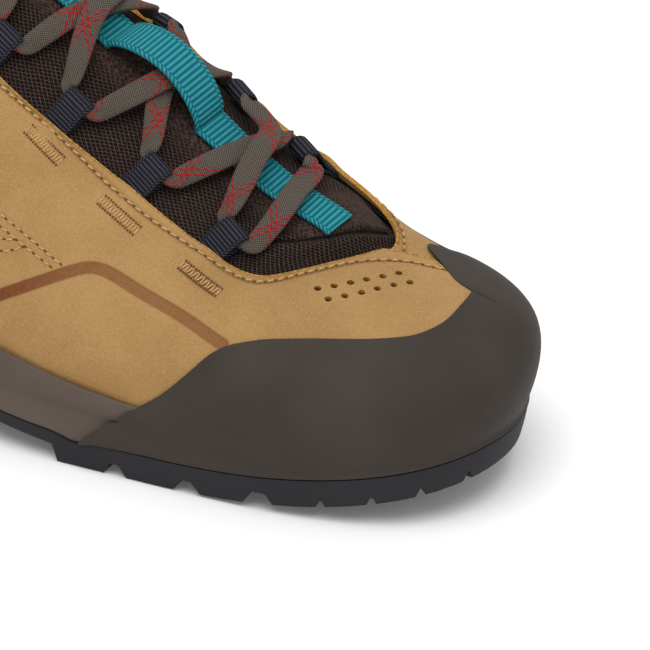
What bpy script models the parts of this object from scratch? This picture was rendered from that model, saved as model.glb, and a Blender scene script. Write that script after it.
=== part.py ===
"""A low approach shoe for the right foot.

Its pieces are a rubber outsole, a foam midsole, an insole, a leather upper, a rubber toe rand, a heel
counter, a padded tongue with a webbing strip, lace loops and a lace.

Blender 4.5 script. Sizes in the tables are millimetres: x runs from the heel to the toe, y towards the
inner (medial) side of the foot and z up from the floor. Round the shoe a place is given by two numbers:
u goes once round from the heel along the outer side, the toe and the inner side, and v climbs from the
feather line, where the upper meets the sole, to the edge of the collar and throat. Below the feather line
v is negative, down to -1 at the outsole.
"""

import bmesh
import bpy
import numpy as np
from mathutils import Matrix, Vector

MM = 0.001
MIDDLE = np.array([145.5, -1.3, 0.0])  # the middle of the shoe's length and width, which becomes the origin

GAP = 0.35  # between pieces that touch
WALL = 2.2  # leather with its lining
COLLAR_PAD = 4.4  # what the padding adds to the wall at the collar
SOLE_THICK = 7.5  # outsole with its lugs
SOLE_STRIP = 3.9  # outsole between the lugs and under the arch
SOLE_OUT = 1.8  # how far the outsole's upper edge stands out from the feather line
TREAD_OUT = 0.5  # the same for its lower edge
RAND_THICK = 1.2
RAND_GAP = 0.6
LIP_GAP = 0.6  # between that rim and the leather
FLOOR_GAP = 0.5  # between the foam and the upper's lower edge
LIP_THICK = 1.1  # the foam's rim against the leather
INSOLE_THICK = 4.0
LOOP_WIDTH = 7.6
LOOP_BAND = 0.9
LOOP_START = 3.0  # from the leather's edge to the loop
LOOP_REACH = 8.2  # how far the middle of a loop's hole lies in from the leather's edge
LOOP_HIGH = 3.3  # and above the tongue
LACE_RADIUS = 1.3
LACE_STEP = 8.0  # length of the lace's straight facets
LACE_UNDER = 3.9  # height of the lower and upper strand where two cross
LACE_OVER = 7.4
WEBBING_THICK = 1.1
CREST_Y = 4.0  # the crest of the instep lies inside the middle of the foot

# A row is one section round the last. foot is its place on the feather line, rise and swell are how far
# the leather climbs and stands out there, edge is its place on the collar or throat, and out, drop and fwd
# say how it arrives.
LAST_COLUMNS = (
    "name", "foot_x", "foot_y", "foot_z", "rise", "swell", "edge_x", "edge_y", "edge_z", "out", "drop", "fwd",
)
LAST = [
    ("heel", 4.0, 0.0, 24.0, 26.0, 9.0, 8.0, 0.0, 100.0, -3.0, 26.0, 0.0),
    ("heel_lateral", 18.0, -29.0, 24.0, 24.0, 7.0, 20.0, -21.0, 97.0, -1.0, 24.0, 0.0),
    ("rear_lateral", 48.0, -36.0, 23.0, 24.0, 6.0, 50.0, -33.0, 82.0, 2.0, 20.0, 0.0),
    ("ankle_lateral", 80.0, -37.0, 21.0, 24.0, 6.0, 82.0, -34.0, 82.0, 3.0, 20.0, 0.0),
    ("waist_lateral", 112.0, -39.0, 20.0, 24.0, 6.0, 112.0, -26.0, 100.0, 8.0, 22.0, 0.0),
    ("instep_lateral", 142.0, -43.7, 19.0, 24.0, 6.0, 133.0, -22.0, 98.4, 13.0, 20.0, 2.0),
    ("middle_lateral", 172.0, -48.4, 17.5, 22.0, 6.0, 156.3, -22.2, 83.1, 14.0, 18.0, 3.0),
    ("ball_lateral", 200.0, -46.9, 15.5, 22.0, 6.0, 179.4, -22.5, 71.0, 14.0, 16.0, 4.0),
    ("vamp_lateral", 227.0, -43.9, 13.0, 22.0, 6.0, 202.3, -22.8, 60.3, 14.0, 12.0, 6.0),
    ("toe_lateral", 254.2, -39.8, 12.9, 21.8, 6.0, 224.7, -21.3, 50.2, 16.0, 9.0, 10.0),
    ("small_toes", 278.2, -29.3, 17.3, 20.2, 6.1, 233.8, -13.5, 48.9, 14.7, 5.6, 19.9),
    ("toe", 288.7, -4.7, 20.3, 21.0, 6.9, 243.9, 3.1, 49.8, 5.3, 3.3, 33.3),
    ("big_toe", 279.9, 21.7, 18.2, 23.2, 7.5, 247.1, 14.8, 50.3, 10.3, 5.0, 25.3),
    ("toe_medial", 262.9, 37.8, 14.6, 23.6, 6.4, 238.2, 22.4, 55.0, 6.2, 12.2, 9.3),
    ("vamp_medial", 238.0, 45.0, 13.0, 24.0, 6.0, 214.0, 23.2, 65.8, 9.7, 14.5, 4.8),
    ("ball_medial", 211.0, 45.0, 14.0, 24.0, 6.0, 190.0, 22.6, 78.4, 13.0, 16.0, 4.0),
    ("middle_medial", 180.0, 38.5, 17.0, 26.0, 6.0, 162.3, 21.5, 91.0, 12.0, 18.0, 3.0),
    ("arch_medial", 148.0, 32.0, 20.0, 28.0, 6.0, 136.0, 21.5, 101.0, 10.0, 20.0, 2.0),
    ("waist_medial", 116.0, 30.0, 22.0, 28.0, 6.0, 112.0, 26.0, 103.0, 6.0, 22.0, 0.0),
    ("ankle_medial", 82.0, 33.0, 23.0, 26.0, 6.0, 82.0, 32.0, 87.0, 3.0, 20.0, 0.0),
    ("rear_medial", 48.0, 34.0, 23.0, 24.0, 6.0, 50.0, 31.0, 86.0, 2.0, 20.0, 0.0),
    ("heel_medial", 18.0, 27.0, 24.0, 24.0, 7.0, 20.0, 20.0, 97.0, -1.0, 24.0, 0.0),
]

# The rand's upper edge: how high it stands at each place round the shoe.
RAND_COLUMNS = ("u", "top")
RAND = [
    (0.3330, -0.90),
    (0.3545, 0.00),
    (0.3566, 0.095),
    (0.3798, 0.327),
    (0.3979, 0.513),
    (0.4086, 0.589),
    (0.4188, 0.638),
    (0.4330, 0.672),
    (0.4590, 0.636),
    (0.4736, 0.593),
    (0.4879, 0.638),
    (0.5100, 0.700),
    (0.5182, 0.815),
    (0.5270, 0.862),
    (0.5396, 0.874),
    (0.5561, 0.796),
    (0.5850, 0.700),
    (0.6200, 0.620),
    (0.6500, 0.500),
    (0.6800, 0.280),
    (0.7000, 0.090),
    (0.7030, 0.00),
    (0.7260, -0.90),
]

# The foam's rim on the leather, and how far the foam stands out: nothing where the rand covers it.
FOAM_COLUMNS = ("u", "rim", "out")
FOAM = [
    (0.000, 0.130, 1.8),
    (0.200, 0.140, 1.8),
    (0.300, 0.140, 1.8),
    (0.330, 0.097, 1.5),
    (0.345, 0.088, 1.1),
    (0.375, 0.088, 0.0),
    (0.680, 0.088, 0.0),
    (0.712, 0.088, 1.1),
    (0.730, 0.110, 1.5),
    (0.760, 0.140, 1.8),
    (1.000, 0.130, 1.8),
]
LIP_ENDS = (0.3530, 0.7046)  # the rim stops where the rand starts

# Height of the counter at the heel.
COUNTER_COLUMNS = ("u", "top")
COUNTER = [
    (-0.125, 0.19),
    (-0.090, 0.34),
    (-0.045, 0.52),
    (0.000, 0.58),
    (0.045, 0.52),
    (0.090, 0.34),
    (0.125, 0.19),
]
COUNTER_THICK = 1.2
COUNTER_FOOT = 0.165

# How the outsole's underside leaves the floor: the arch, and the step where the lugs begin and end.
ARCH_COLUMNS = ("x", "lift")
ARCH = [
    (74.0, 0.0),
    (88.0, 1.0),
    (104.0, 4.0),
    (122.0, 5.6),
    (142.0, 5.6),
    (160.0, 4.2),
    (176.0, 2.3),
    (190.0, 0.7),
    (202.0, 0.0),
]
ARCH_STEPS = (79.0, 191.0)
STEP_RUN = 1.6

# A row is one section across the tongue: where it leaves the leather's edge on each side, and its crest.
TONGUE_COLUMNS = ("lateral_u", "medial_u", "edge_v", "crest_x", "crest_z")
TONGUE = [
    (0.447, 0.533, 0.880, 252.0, 44.6),
    (0.440, 0.540, 1.000, 245.2, 45.8),
    (0.428, 0.552, 1.000, 240.6, 51.0),
    (0.415, 0.563, 1.000, 236.0, 55.4),
    (0.400, 0.580, 1.000, 223.5, 59.6),
    (0.380, 0.600, 1.000, 212.0, 65.1),
    (0.355, 0.622, 1.000, 198.0, 73.3),
    (0.325, 0.647, 1.000, 183.0, 82.2),
    (0.298, 0.670, 1.000, 169.5, 91.0),
    (0.275, 0.695, 1.000, 156.5, 98.0),
    (0.250, 0.722, 1.000, 143.0, 104.5),
    (0.225, 0.750, 1.000, 130.0, 110.5),
    (0.205, 0.785, 1.000, 116.0, 117.0),
]
TONGUE_HIDDEN = 0.115  # how far down the leather its sides reach, as a share of v
TONGUE_THICK = 3.6
TONGUE_GAP = 0.7
EDGE_Q = 0.72  # where the leather's edge crosses the tongue
LOOP_Q = 0.52  # where the lace runs through the loops

# Lace loops in pairs from the toe, as places along the tongue on the outer and the inner side.
LOOPS = [(3.76, 4.75), (5.64, 6.20), (7.11, 7.87), (8.70, 9.37), (10.25, 10.75)]

WEBBING_ROWS = (2.55, 9.1)  # where the strip on the tongue begins and ends
ARCH_ROWS = (5.75, 7.75)  # and where it stands up as a loop for the lace
ARCH_HIGH = 9.5

# Tread: places on the outer and inner edge with a notch, and the notch's size.
NOTCH_COLUMNS = ("u", "wide", "narrow", "deep", "long")
NOTCHES = [
    (0.3468, 6.0, 2.4, 3.2, 16.0),
    (0.3770, 7.2, 2.6, 3.2, 16.0),
    (0.4070, 7.6, 3.6, 3.2, 16.0),
    (0.4290, 2.0, 0.8, 1.5, 8.0),
    (0.4450, 2.0, 0.8, 1.5, 8.0),
    (0.4610, 2.0, 0.8, 1.5, 8.0),
    (0.4790, 2.0, 0.8, 1.5, 8.0),
    (0.5600, 2.0, 0.8, 1.5, 8.0),
    (0.5900, 7.4, 3.4, 3.2, 16.0),
    (0.6200, 7.2, 2.6, 3.2, 16.0),
    (0.6500, 6.6, 2.6, 3.2, 16.0),
    (0.6780, 6.0, 2.4, 3.2, 16.0),
    (0.0360, 6.4, 2.6, 3.2, 13.0),
    (0.0700, 6.4, 2.6, 3.2, 13.0),
    (0.1060, 6.4, 2.6, 3.2, 13.0),
    (0.8930, 6.4, 2.6, 3.2, 13.0),
    (0.9300, 6.4, 2.6, 3.2, 13.0),
    (0.9640, 6.4, 2.6, 3.2, 13.0),
]
FIELDS = [(203.0, 256.0), (24.0, 70.0)]  # the recessed middle of the tread, forefoot and heel
FIELD_INSET = 13.0
FIELD_DEEP = 2.8
STUD_RADIUS = 4.2
STUD_PITCH = 14.5
STUD_TURN = 0.26  # every second row of studs is turned by this, in radians
STUD_LONG = 24.0  # more than the sole is thick
CUT_BELOW = 4.0  # how far the cutters reach below the floor
CUT_PAST = 3.0  # and out past the sole's edge

MATERIALS = {  # colour, roughness, metallic
    "leather": ((0.52, 0.31, 0.12), 0.75, 0.0),
    "rubber_rand": ((0.070, 0.058, 0.047), 0.60, 0.0),
    "rubber_sole": ((0.030, 0.028, 0.033), 0.55, 0.0),
    "foam": ((0.125, 0.100, 0.078), 0.70, 0.0),
    "lining": ((0.060, 0.050, 0.045), 0.90, 0.0),
    "mesh": ((0.080, 0.055, 0.042), 0.90, 0.0),
    "webbing_teal": ((0.010, 0.230, 0.290), 0.80, 0.0),
    "webbing_navy": ((0.020, 0.022, 0.032), 0.80, 0.0),
    "lace": ((0.140, 0.115, 0.100), 0.85, 0.0),
}


def column(table, columns, name):
    place = columns.index(name)
    return np.array([row[place] for row in table], float)


def second_differences(knots, values, closed):
    """Second derivatives of the cubic spline through the values, closed or with free ends."""
    count = len(knots) - 1
    step = np.diff(knots)
    slope = np.diff(values, axis=0) / step.reshape((-1,) + (1,) * (values.ndim - 1))
    if closed:
        system = np.zeros((count, count))
        right = np.zeros((count,) + values.shape[1:])
        for i in range(count):
            system[i, i] = 2 * (step[i - 1] + step[i])
            system[i, i - 1] += step[i - 1]
            system[i, (i + 1) % count] += step[i]
            right[i] = 6 * (slope[i] - slope[i - 1])
        bend = np.linalg.solve(system, right.reshape(count, -1)).reshape(right.shape)
        return np.concatenate([bend, bend[:1]])
    system = np.eye(count + 1)
    right = np.zeros_like(values, dtype=float)
    for i in range(1, count):
        system[i, i - 1 : i + 2] = (step[i - 1], 2 * (step[i - 1] + step[i]), step[i])
        right[i] = 6 * (slope[i] - slope[i - 1])
    return np.linalg.solve(system, right.reshape(count + 1, -1)).reshape(right.shape)


def spline(knots, values, closed=False):
    """A smooth function through the values at the knots. A closed one repeats after knots[-1]."""
    knots = np.asarray(knots, float)
    values = np.asarray(values, float)
    bend = second_differences(knots, values, closed)

    def at(place):
        place = np.asarray(place, float)
        if closed:
            place = np.mod(place, knots[-1])
        i = np.clip(np.searchsorted(knots, place, side="right") - 1, 0, len(knots) - 2)
        step = knots[i + 1] - knots[i]
        after = (place - knots[i]) / step
        before = 1 - after
        if values.ndim > 1:
            step, after, before = (item[..., None] for item in (step, after, before))
        curve = (before**3 - before) * bend[i] + (after**3 - after) * bend[i + 1]
        return before * values[i] + after * values[i + 1] + curve * step**2 / 6

    return at


def unit(vectors):
    return vectors / np.linalg.norm(vectors, axis=-1, keepdims=True)


def last_knots():
    """Where the sections lie round the shoe, by the length of the feather line and of the top edge."""
    foot = np.stack([column(LAST, LAST_COLUMNS, "foot_" + axis) for axis in "xy"], -1)
    edge = np.stack([column(LAST, LAST_COLUMNS, "edge_" + axis) for axis in "xyz"], -1)
    low = np.linalg.norm(np.roll(foot, -1, 0) - foot, axis=1)
    high = np.linalg.norm(np.roll(edge, -1, 0) - edge, axis=1)
    run = np.cumsum(np.sqrt(low * (low + high) / 2))
    return np.append(0, run) / run[-1]


def last_curve(*names):
    values = np.stack([column(LAST, LAST_COLUMNS, name) for name in names], -1)
    return spline(last_knots(), np.concatenate([values, values[:1]]), closed=True)


FOOT = last_curve("foot_x", "foot_y", "foot_z")
EDGE = last_curve("edge_x", "edge_y", "edge_z")
HANDLES = last_curve("rise", "swell", "out", "drop", "fwd")
UP = np.array([0.0, 0.0, 1.0])
FORWARD = np.array([1.0, 0.0, 0.0])
SIDEWAYS = np.array([0.0, 1.0, 0.0])
NUDGE = 1e-4


def outward(u):
    """Level direction out of the shoe at the feather line."""
    along = unit((FOOT(u + NUDGE) - FOOT(u - NUDGE)) * (1, 1, 0))
    return np.stack([along[..., 1], -along[..., 0], 0 * along[..., 0]], -1)


def skin(u, v):
    """The leather's outer face: a Bezier curve in each section, smooth round the shoe."""
    u, v = np.broadcast_arrays(np.asarray(u, float), np.asarray(v, float))
    foot, edge, out_way = FOOT(u), EDGE(u), outward(u)
    rise, swell, out, drop, fwd = (HANDLES(u)[..., i, None] for i in range(5))
    low = foot + UP * rise + out_way * swell
    high = edge - UP * drop + SIDEWAYS * out_way[..., 1:2] * out + FORWARD * fwd
    v = v[..., None]
    w = 1 - v
    return w**3 * foot + 3 * w**2 * v * low + 3 * w * v**2 * high + v**3 * edge


def skin_normal(u, v):
    u, v = np.broadcast_arrays(np.asarray(u, float), np.asarray(v, float))
    round_way = skin(u + NUDGE, v) - skin(u - NUDGE, v)
    below = np.clip(v - NUDGE, 0, None)
    up_way = skin(u, below + 2 * NUDGE) - skin(u, below)
    return unit(np.cross(round_way, up_way))


def toe_spring(x):
    return np.clip(x - 215.0, 0, None) ** 2 / 75.0**2 * 11.0


def heel_spring(x):
    return np.clip(20.0 - x, 0, None) ** 2 / 20.0**2 * 3.0


ARCH_LIFT = spline(column(ARCH, ARCH_COLUMNS, "x"), column(ARCH, ARCH_COLUMNS, "lift"))


def sole_top(x):
    """Height of the outsole's upper face."""
    x = np.asarray(x, float)
    lift = np.where((x > ARCH[0][0]) & (x < ARCH[-1][0]), ARCH_LIFT(x), 0)
    return SOLE_THICK + toe_spring(x) + heel_spring(x) + np.clip(lift, 0, None)


def tread(x):
    """Height of the outsole's underside: on the floor at heel and ball, thin under the arch."""
    x = np.asarray(x, float)
    low = toe_spring(x) + heel_spring(x)
    rear, front = ARCH_STEPS
    share = np.clip((x - rear) / STEP_RUN, 0, 1) * np.clip((front - x) / STEP_RUN, 0, 1)
    return low + share * (sole_top(x) - SOLE_STRIP - low)


def table_line(table, columns, name):
    """The named column as straight runs between the rows, round the shoe."""
    places = column(table, columns, columns[0])
    values = column(table, columns, name)
    return lambda u: np.interp(u, places, values)


FOAM_RIM = table_line(FOAM, FOAM_COLUMNS, "rim")
FOAM_OUT = table_line(FOAM, FOAM_COLUMNS, "out")
RAND_TOP = table_line(RAND, RAND_COLUMNS, "top")
COUNTER_TOP = table_line(COUNTER, COUNTER_COLUMNS, "top")


def shell(u, v, offset):
    """A place on the form of the shoe, offset outwards: leather above the feather line, the sole's wall below."""
    u, v, offset = np.broadcast_arrays(*(np.asarray(item, float) for item in (u, v, offset)))
    above = np.clip(v, 0, 1)
    level = np.clip(v / 0.05, 0, 1)[..., None]
    way = unit(skin_normal(u, above) * level + outward(u) * (1 - level))
    low = np.clip(-v, 0, 1)[..., None]
    place = skin(u, above)
    depth = place[..., 2] - sole_top(place[..., 0]) - GAP
    return place + way * offset[..., None] - UP * low * depth[..., None]


def wall(u, v):
    """Thickness of the upper: thicker where the collar is padded."""
    u = np.mod(np.asarray(u, float), 1.0)
    round_collar = np.clip((0.225 - np.minimum(u, 1 - u)) / 0.045, 0, 1)
    height = np.clip((np.asarray(v, float) - 0.62) / 0.22, 0, 1)
    return WALL + COLLAR_PAD * round_collar * height * height * (3 - 2 * height)


def new_object(name, material, build):
    """An object in metres from a bmesh in millimetres, moved to the shared origin."""
    mesh = bpy.data.meshes.new(name)
    form = bmesh.new()
    build(form)
    bmesh.ops.recalc_face_normals(form, faces=form.faces)
    if form.calc_volume(signed=True) < 0:
        bmesh.ops.reverse_faces(form, faces=form.faces)
    bmesh.ops.transform(form, matrix=Matrix.Translation(Vector(-MIDDLE)), verts=form.verts)
    bmesh.ops.scale(form, vec=(MM, MM, MM), verts=form.verts)
    form.to_mesh(mesh)
    form.free()
    mesh.shade_smooth()
    mesh.set_sharp_from_angle(angle=0.6)
    thing = bpy.data.objects.new(name, mesh)
    if material:
        mesh.materials.append(MATERIAL[material])
        SHOE.objects.link(thing)
    else:
        thing.hide_render = True
        thing.display_type = "WIRE"
        CUTTERS.objects.link(thing)
    return thing


def add_points(form, points):
    """Vertices for an array of places, in the array's own shape."""
    flat = [form.verts.new(Vector(place)) for place in points.reshape(-1, 3)]
    grid = np.empty(len(flat), dtype=object)
    grid[:] = flat
    return grid.reshape(points.shape[:-1])


def weave(form, grid, closed=False):
    """Faces over a grid of vertices. A closed grid joins its last row to its first."""
    rows = len(grid) if closed else len(grid) - 1
    for i in range(rows):
        after = (i + 1) % len(grid)
        for j in range(grid.shape[1] - 1):
            form.faces.new((grid[i, j], grid[after, j], grid[after, j + 1], grid[i, j + 1]))


def slab(form, outer, inner):
    """A closed sheet with thickness, from its two faces."""
    top = add_points(form, outer)
    low = add_points(form, inner)
    weave(form, top)
    weave(form, low)
    for end in (0, -1):
        weave(form, np.stack((top[:, end], low[:, end]), 1))
        weave(form, np.stack((top[end], low[end]), 1))


def round_columns():
    """Places round the shoe for the upper, closer together at the heel and the toe."""
    runs = ((0.0, 0.07, 6), (0.07, 0.40, 21), (0.40, 0.60, 24), (0.60, 0.93, 20), (0.93, 1.0, 6))
    places = [np.linspace(start, end, count, endpoint=False) for start, end, count in runs]
    return np.concatenate(places)


def columns_between(start, end):
    """The upper's own columns from start to end, so that what lies on the leather has the same facets."""
    columns = np.concatenate([round_columns() - 1, round_columns()])
    inside = [u for u in columns if start + 0.003 < u < end - 0.003]
    return np.array([start, *inside, end])


def ladder_columns(stops=(), rungs=30):
    """Pairs of places with equal x on the outer and inner half of the feather line, heel to toe."""
    fine = np.linspace(0, 1, 4001)
    length = FOOT(fine)[:, 0]
    toe = int(np.argmax(length))
    heel = int(np.argmin(np.where(np.abs(fine - 0.5) > 0.4, length, np.inf)))
    low, high = length[heel], length[toe]
    wave = (1 - np.cos(np.linspace(0, np.pi, rungs + 2)[1:-1])) / 2
    places = sorted([*(low + (high - low) * wave), *stops])
    heel_u = fine[heel] - 1 if fine[heel] > 0.5 else fine[heel]
    outer = np.linspace(heel_u, fine[toe], 2001)
    inner = np.linspace(heel_u + 1, fine[toe], 2001)
    lateral = np.interp(places, FOOT(outer)[:, 0], outer)
    medial = np.interp(places, FOOT(inner)[:, 0], inner)
    return np.concatenate([[heel_u], lateral, [fine[toe]], medial[::-1]]), len(places)


def ladder_cap(form, ring, rungs, across=3):
    """Closes a ring of vertices with rungs from side to side."""
    count = len(ring)
    lines = []
    for i in range(1, rungs + 1):
        left, right = ring[i], ring[count - i]
        between = []
        for k in range(1, across):
            between.append(form.verts.new(left.co.lerp(right.co, k / across)))
        lines.append([left, *between, right])
    for first, second in zip(lines, lines[1:]):
        for k in range(across):
            form.faces.new((first[k], second[k], second[k + 1], first[k + 1]))
    for tip, line in ((ring[0], lines[0]), (ring[rungs + 1], lines[-1])):
        for k in range(across):
            form.faces.new((tip, line[k], line[k + 1]))


def make_outsole():
    rear, front = ARCH_STEPS
    stops = (rear, rear + STEP_RUN, front - STEP_RUN, front)
    ring_u, rungs = ladder_columns(stops)

    def build(form):
        low = FOOT(ring_u) + outward(ring_u) * TREAD_OUT
        high = FOOT(ring_u) + outward(ring_u) * SOLE_OUT
        foot_x = FOOT(ring_u)[:, 0]
        low[:, 2] = tread(foot_x)
        high[:, 2] = sole_top(foot_x)
        middle = 0.35 * low + 0.65 * high
        middle += outward(ring_u) * 0.25
        rings = add_points(form, np.stack([low, middle, high], 1))
        weave(form, rings, closed=True)
        for edge in (0, 2):
            ladder_cap(form, list(rings[:, edge]), rungs)

    sole = new_object("outsole", "rubber_sole", build)
    cut(sole, make_notches())
    for number, (start, end) in enumerate(FIELDS):
        cut(sole, make_field(number, start, end))


def make_notches():
    """Wedges across the edge of the tread, narrower at their roof."""

    def build(form):
        for row in NOTCHES:
            u, wide, narrow, deep, long = (row[NOTCH_COLUMNS.index(name)] for name in NOTCH_COLUMNS)
            way = outward(u)
            edge = FOOT(u) + way * (TREAD_OUT + CUT_PAST)
            side = np.cross(UP, way)
            floor = float(toe_spring(edge[0]) + heel_spring(edge[0]))
            half, roof = wide / 2, narrow / 2
            below = ((-half, -CUT_BELOW), (half, -CUT_BELOW), (half, 0.0))
            profile = (*below, (roof, deep), (-roof, deep), (-half, 0.0))
            ends = []
            for reach in (0.0, long + CUT_PAST):
                base = np.array([*(edge - way * reach)[:2], floor])
                ends.append([base + side * across + UP * rise for across, rise in profile])
            grid = add_points(form, np.array(ends))
            ring = np.concatenate([grid, grid[:, :1]], 1)
            weave(form, ring)
            form.faces.new(list(grid[0]))
            form.faces.new(list(grid[1]))

    return new_object("notch_cutter", None, build)


def make_field(number, start, end):
    """The recess in the middle of the tread, less the studs that stand in it."""

    def sides(x):
        half = ladder_columns((x,), rungs=0)[0]
        return [FOOT(half[k]) - outward(half[k]) * FIELD_INSET for k in (1, 3)]

    stations = np.linspace(start, end, 9)
    rails = np.array([sides(x) for x in stations])

    def build(form):
        roof = rails.copy()
        roof[:, :, 2] = (toe_spring(stations) + FIELD_DEEP)[:, None]
        floor = rails.copy()
        floor[:, :, 2] = -CUT_BELOW
        slab(form, roof, floor)

    field = new_object(f"field_cutter_{number}", None, build)

    def build_studs(form):
        for row, x in enumerate(np.arange(start + STUD_PITCH / 2, end - STUD_RADIUS, STUD_PITCH)):
            right, left = (rails[np.argmin(np.abs(stations - x)), side, 1] for side in (0, 1))
            count = int((left - right - 2 * STUD_RADIUS - CUT_PAST) // STUD_PITCH)
            first = (left + right) / 2 - STUD_PITCH * count / 2
            for k in range(count + 1):
                place = Matrix.Translation((x, first + k * STUD_PITCH, 0))
                turn = Matrix.Rotation(STUD_TURN * (row % 2), 4, "Z")
                bmesh.ops.create_cone(
                    form,
                    cap_ends=True,
                    segments=6,
                    radius1=STUD_RADIUS * 0.9,
                    radius2=STUD_RADIUS,
                    depth=STUD_LONG,
                    matrix=place @ turn,
                )

    cut(field, new_object(f"stud_cutter_{number}", None, build_studs))
    return field


def cut(thing, cutter):
    modifier = thing.modifiers.new(cutter.name, "BOOLEAN")
    modifier.operation = "DIFFERENCE"
    modifier.object = cutter


def make_midsole():
    near, far = (FOOT(u)[0] for u in LIP_ENDS)
    stops = (near - 0.4, near, far - 0.4, far)
    ring_u, rungs = ladder_columns(stops)
    ring_turn = np.mod(ring_u, 1.0)

    def build(form):
        u = ring_turn
        out = FOAM_OUT(u)
        rim = FOAM_RIM(u)
        foot_x = FOOT(u)[:, 0]
        bare = ((u < LIP_ENDS[0] - 1e-4) | (u > LIP_ENDS[1] + 1e-4))[:, None]
        base = shell(u, -1.0, out)
        base[:, 2] = sole_top(foot_x) + GAP
        waist = shell(u, -0.5, out - 0.35 * (out / 1.8))
        level = shell(u, 0.0, out)
        hidden = level - UP * FLOOR_GAP
        rim_out = np.where(bare, shell(u, rim, LIP_GAP + LIP_THICK), hidden - outward(u) * 0.3)
        rim_in = np.where(bare, shell(u, rim, LIP_GAP), hidden - outward(u) * 0.6)
        floor_edge = np.where(bare, shell(u, 0.0, LIP_GAP), hidden - outward(u) * 0.9)
        floor_edge[:, 2] = FOOT(u)[:, 2] - FLOOR_GAP
        edge = np.where(bare, level, hidden)
        rings = add_points(form, np.stack([base, waist, edge, rim_out, rim_in, floor_edge], 1))
        weave(form, rings, closed=True)
        ladder_cap(form, list(rings[:, 0]), rungs)
        ladder_cap(form, list(rings[:, -1]), rungs)

    new_object("midsole", "foam", build)


def make_insole():
    ring_u, rungs = ladder_columns(rungs=22)

    def build(form):
        place = FOOT(ring_u)
        low = place - outward(ring_u) * (WALL + 0.8)
        high = place - outward(ring_u) * (WALL + 0.5)
        low[:, 2] = place[:, 2] + 0.1
        high[:, 2] = place[:, 2] + INSOLE_THICK
        rings = add_points(form, np.stack([low, high], 1))
        weave(form, rings, closed=True)
        for edge in (0, 1):
            ladder_cap(form, list(rings[:, edge]), rungs)

    new_object("insole", "lining", build)


def make_upper():
    """The leather and its lining as one hollow wall, open at the collar, the throat and underneath."""
    columns = round_columns()[:, None]
    rows = np.array([0.0, 0.07, 0.16, 0.26, 0.36, 0.45, 0.54, 0.62, 0.70, 0.78, 0.86, 0.93, 1.0])[None]
    inner_rows = np.array([1.0, 0.92, 0.80, 0.64, 0.42, 0.20, 0.0])[None]

    def build(form):
        outer = skin(columns, rows)
        inner = shell(columns, inner_rows, -wall(columns, inner_rows))
        top_wall = wall(columns, inner_rows)[:, :1]
        lip = EDGE(columns[:, 0]) - skin_normal(columns[:, 0], 1.0) * top_wall / 2
        lip = lip + UP * np.clip(top_wall - WALL, 0, 3) * 0.45
        grid = add_points(form, np.concatenate([outer, lip[:, None], inner], 1))
        weave(form, np.concatenate([grid, grid[:, :1]], 1), closed=True)

    new_object("upper", "leather", build)


def rand_inner(u, v):
    """The rand lies on the leather, and below the feather line on the foam."""
    return RAND_GAP + FOAM_OUT(u) * np.clip(1 - v / 0.06, 0, 1)


def make_rand():
    columns = columns_between(RAND[0][0], RAND[-1][0])[:, None]
    share = np.array([0.0, 0.28, 0.52, 0.59, 0.66, 0.73, 0.79, 0.85, 0.90, 0.95, 0.985, 1.0])[None]
    v = -1 + (RAND_TOP(columns) + 1) * share

    def build(form):
        inner = rand_inner(columns, v)
        thick = np.maximum(0.6, RAND_THICK - FOAM_OUT(columns) * np.clip(1 - v / 0.06, 0, 1))
        thin_top = np.where(share > 0.98, 0.45, 1.0)
        slab(form, shell(columns, v, inner + thick * thin_top), shell(columns, v, inner))

    new_object("toe_rand", "rubber_rand", build)


def make_counter():
    """The panel that stiffens the heel."""
    columns = columns_between(COUNTER[0][0], COUNTER[-1][0])[:, None]
    share = np.array([0.0, 0.25, 0.5, 0.75, 0.96, 1.0])[None]
    v = COUNTER_FOOT + (COUNTER_TOP(columns) - COUNTER_FOOT) * share

    def build(form):
        thick = np.where(share > 0.98, 0.5, COUNTER_THICK)
        slab(form, shell(columns, v, GAP + thick), shell(columns, v, GAP))

    new_object("heel_counter", "rubber_rand", build)


def under_leather(u, v):
    """A place just inside the upper's lining."""
    return shell(u, v, -wall(u, v) - TONGUE_GAP)


TONGUE_ROW = np.arange(len(TONGUE))
TONGUE_SIDES = spline(TONGUE_ROW, np.array([row[:3] for row in TONGUE]))
TONGUE_CREST = spline(TONGUE_ROW, np.array([row[3:] for row in TONGUE]))


def tongue_face(row, q):
    """The tongue's upper face: an arc over the crest, and flat flaps under the leather."""
    sides = TONGUE_SIDES(row)
    crest = TONGUE_CREST(row)
    left = under_leather(sides[..., 0], sides[..., 2])
    right = under_leather(sides[..., 1], sides[..., 2])
    top = np.stack([crest[..., 0], 0 * row + CREST_Y, crest[..., 1]], -1)
    bow = 2 * top - (left + right) / 2
    share = np.clip(0.5 + q / (2 * EDGE_Q), 0, 1)[..., None]
    arc = (1 - share) ** 2 * left + 2 * share * (1 - share) * bow + share**2 * right
    hidden = np.clip((np.abs(q) - EDGE_Q) / (1 - EDGE_Q), 0, 1)
    u = np.where(q < 0, sides[..., 0], sides[..., 1])
    flap = under_leather(u, sides[..., 2] - hidden * TONGUE_HIDDEN)
    return np.where(np.abs(q)[..., None] > EDGE_Q, flap, arc)


def tongue(row, q, high=0.0):
    """A place on the tongue: row counts the sections from the toe, q runs across, high is above its face."""
    row, q, high = np.broadcast_arrays(*(np.asarray(item, float) for item in (row, q, high)))
    along = tongue_face(row + 0.02, q) - tongue_face(row - 0.02, q)
    across = tongue_face(row, q + 0.01) - tongue_face(row, q - 0.01)
    return tongue_face(row, q) + unit(np.cross(across, along)) * high[..., None]


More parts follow.
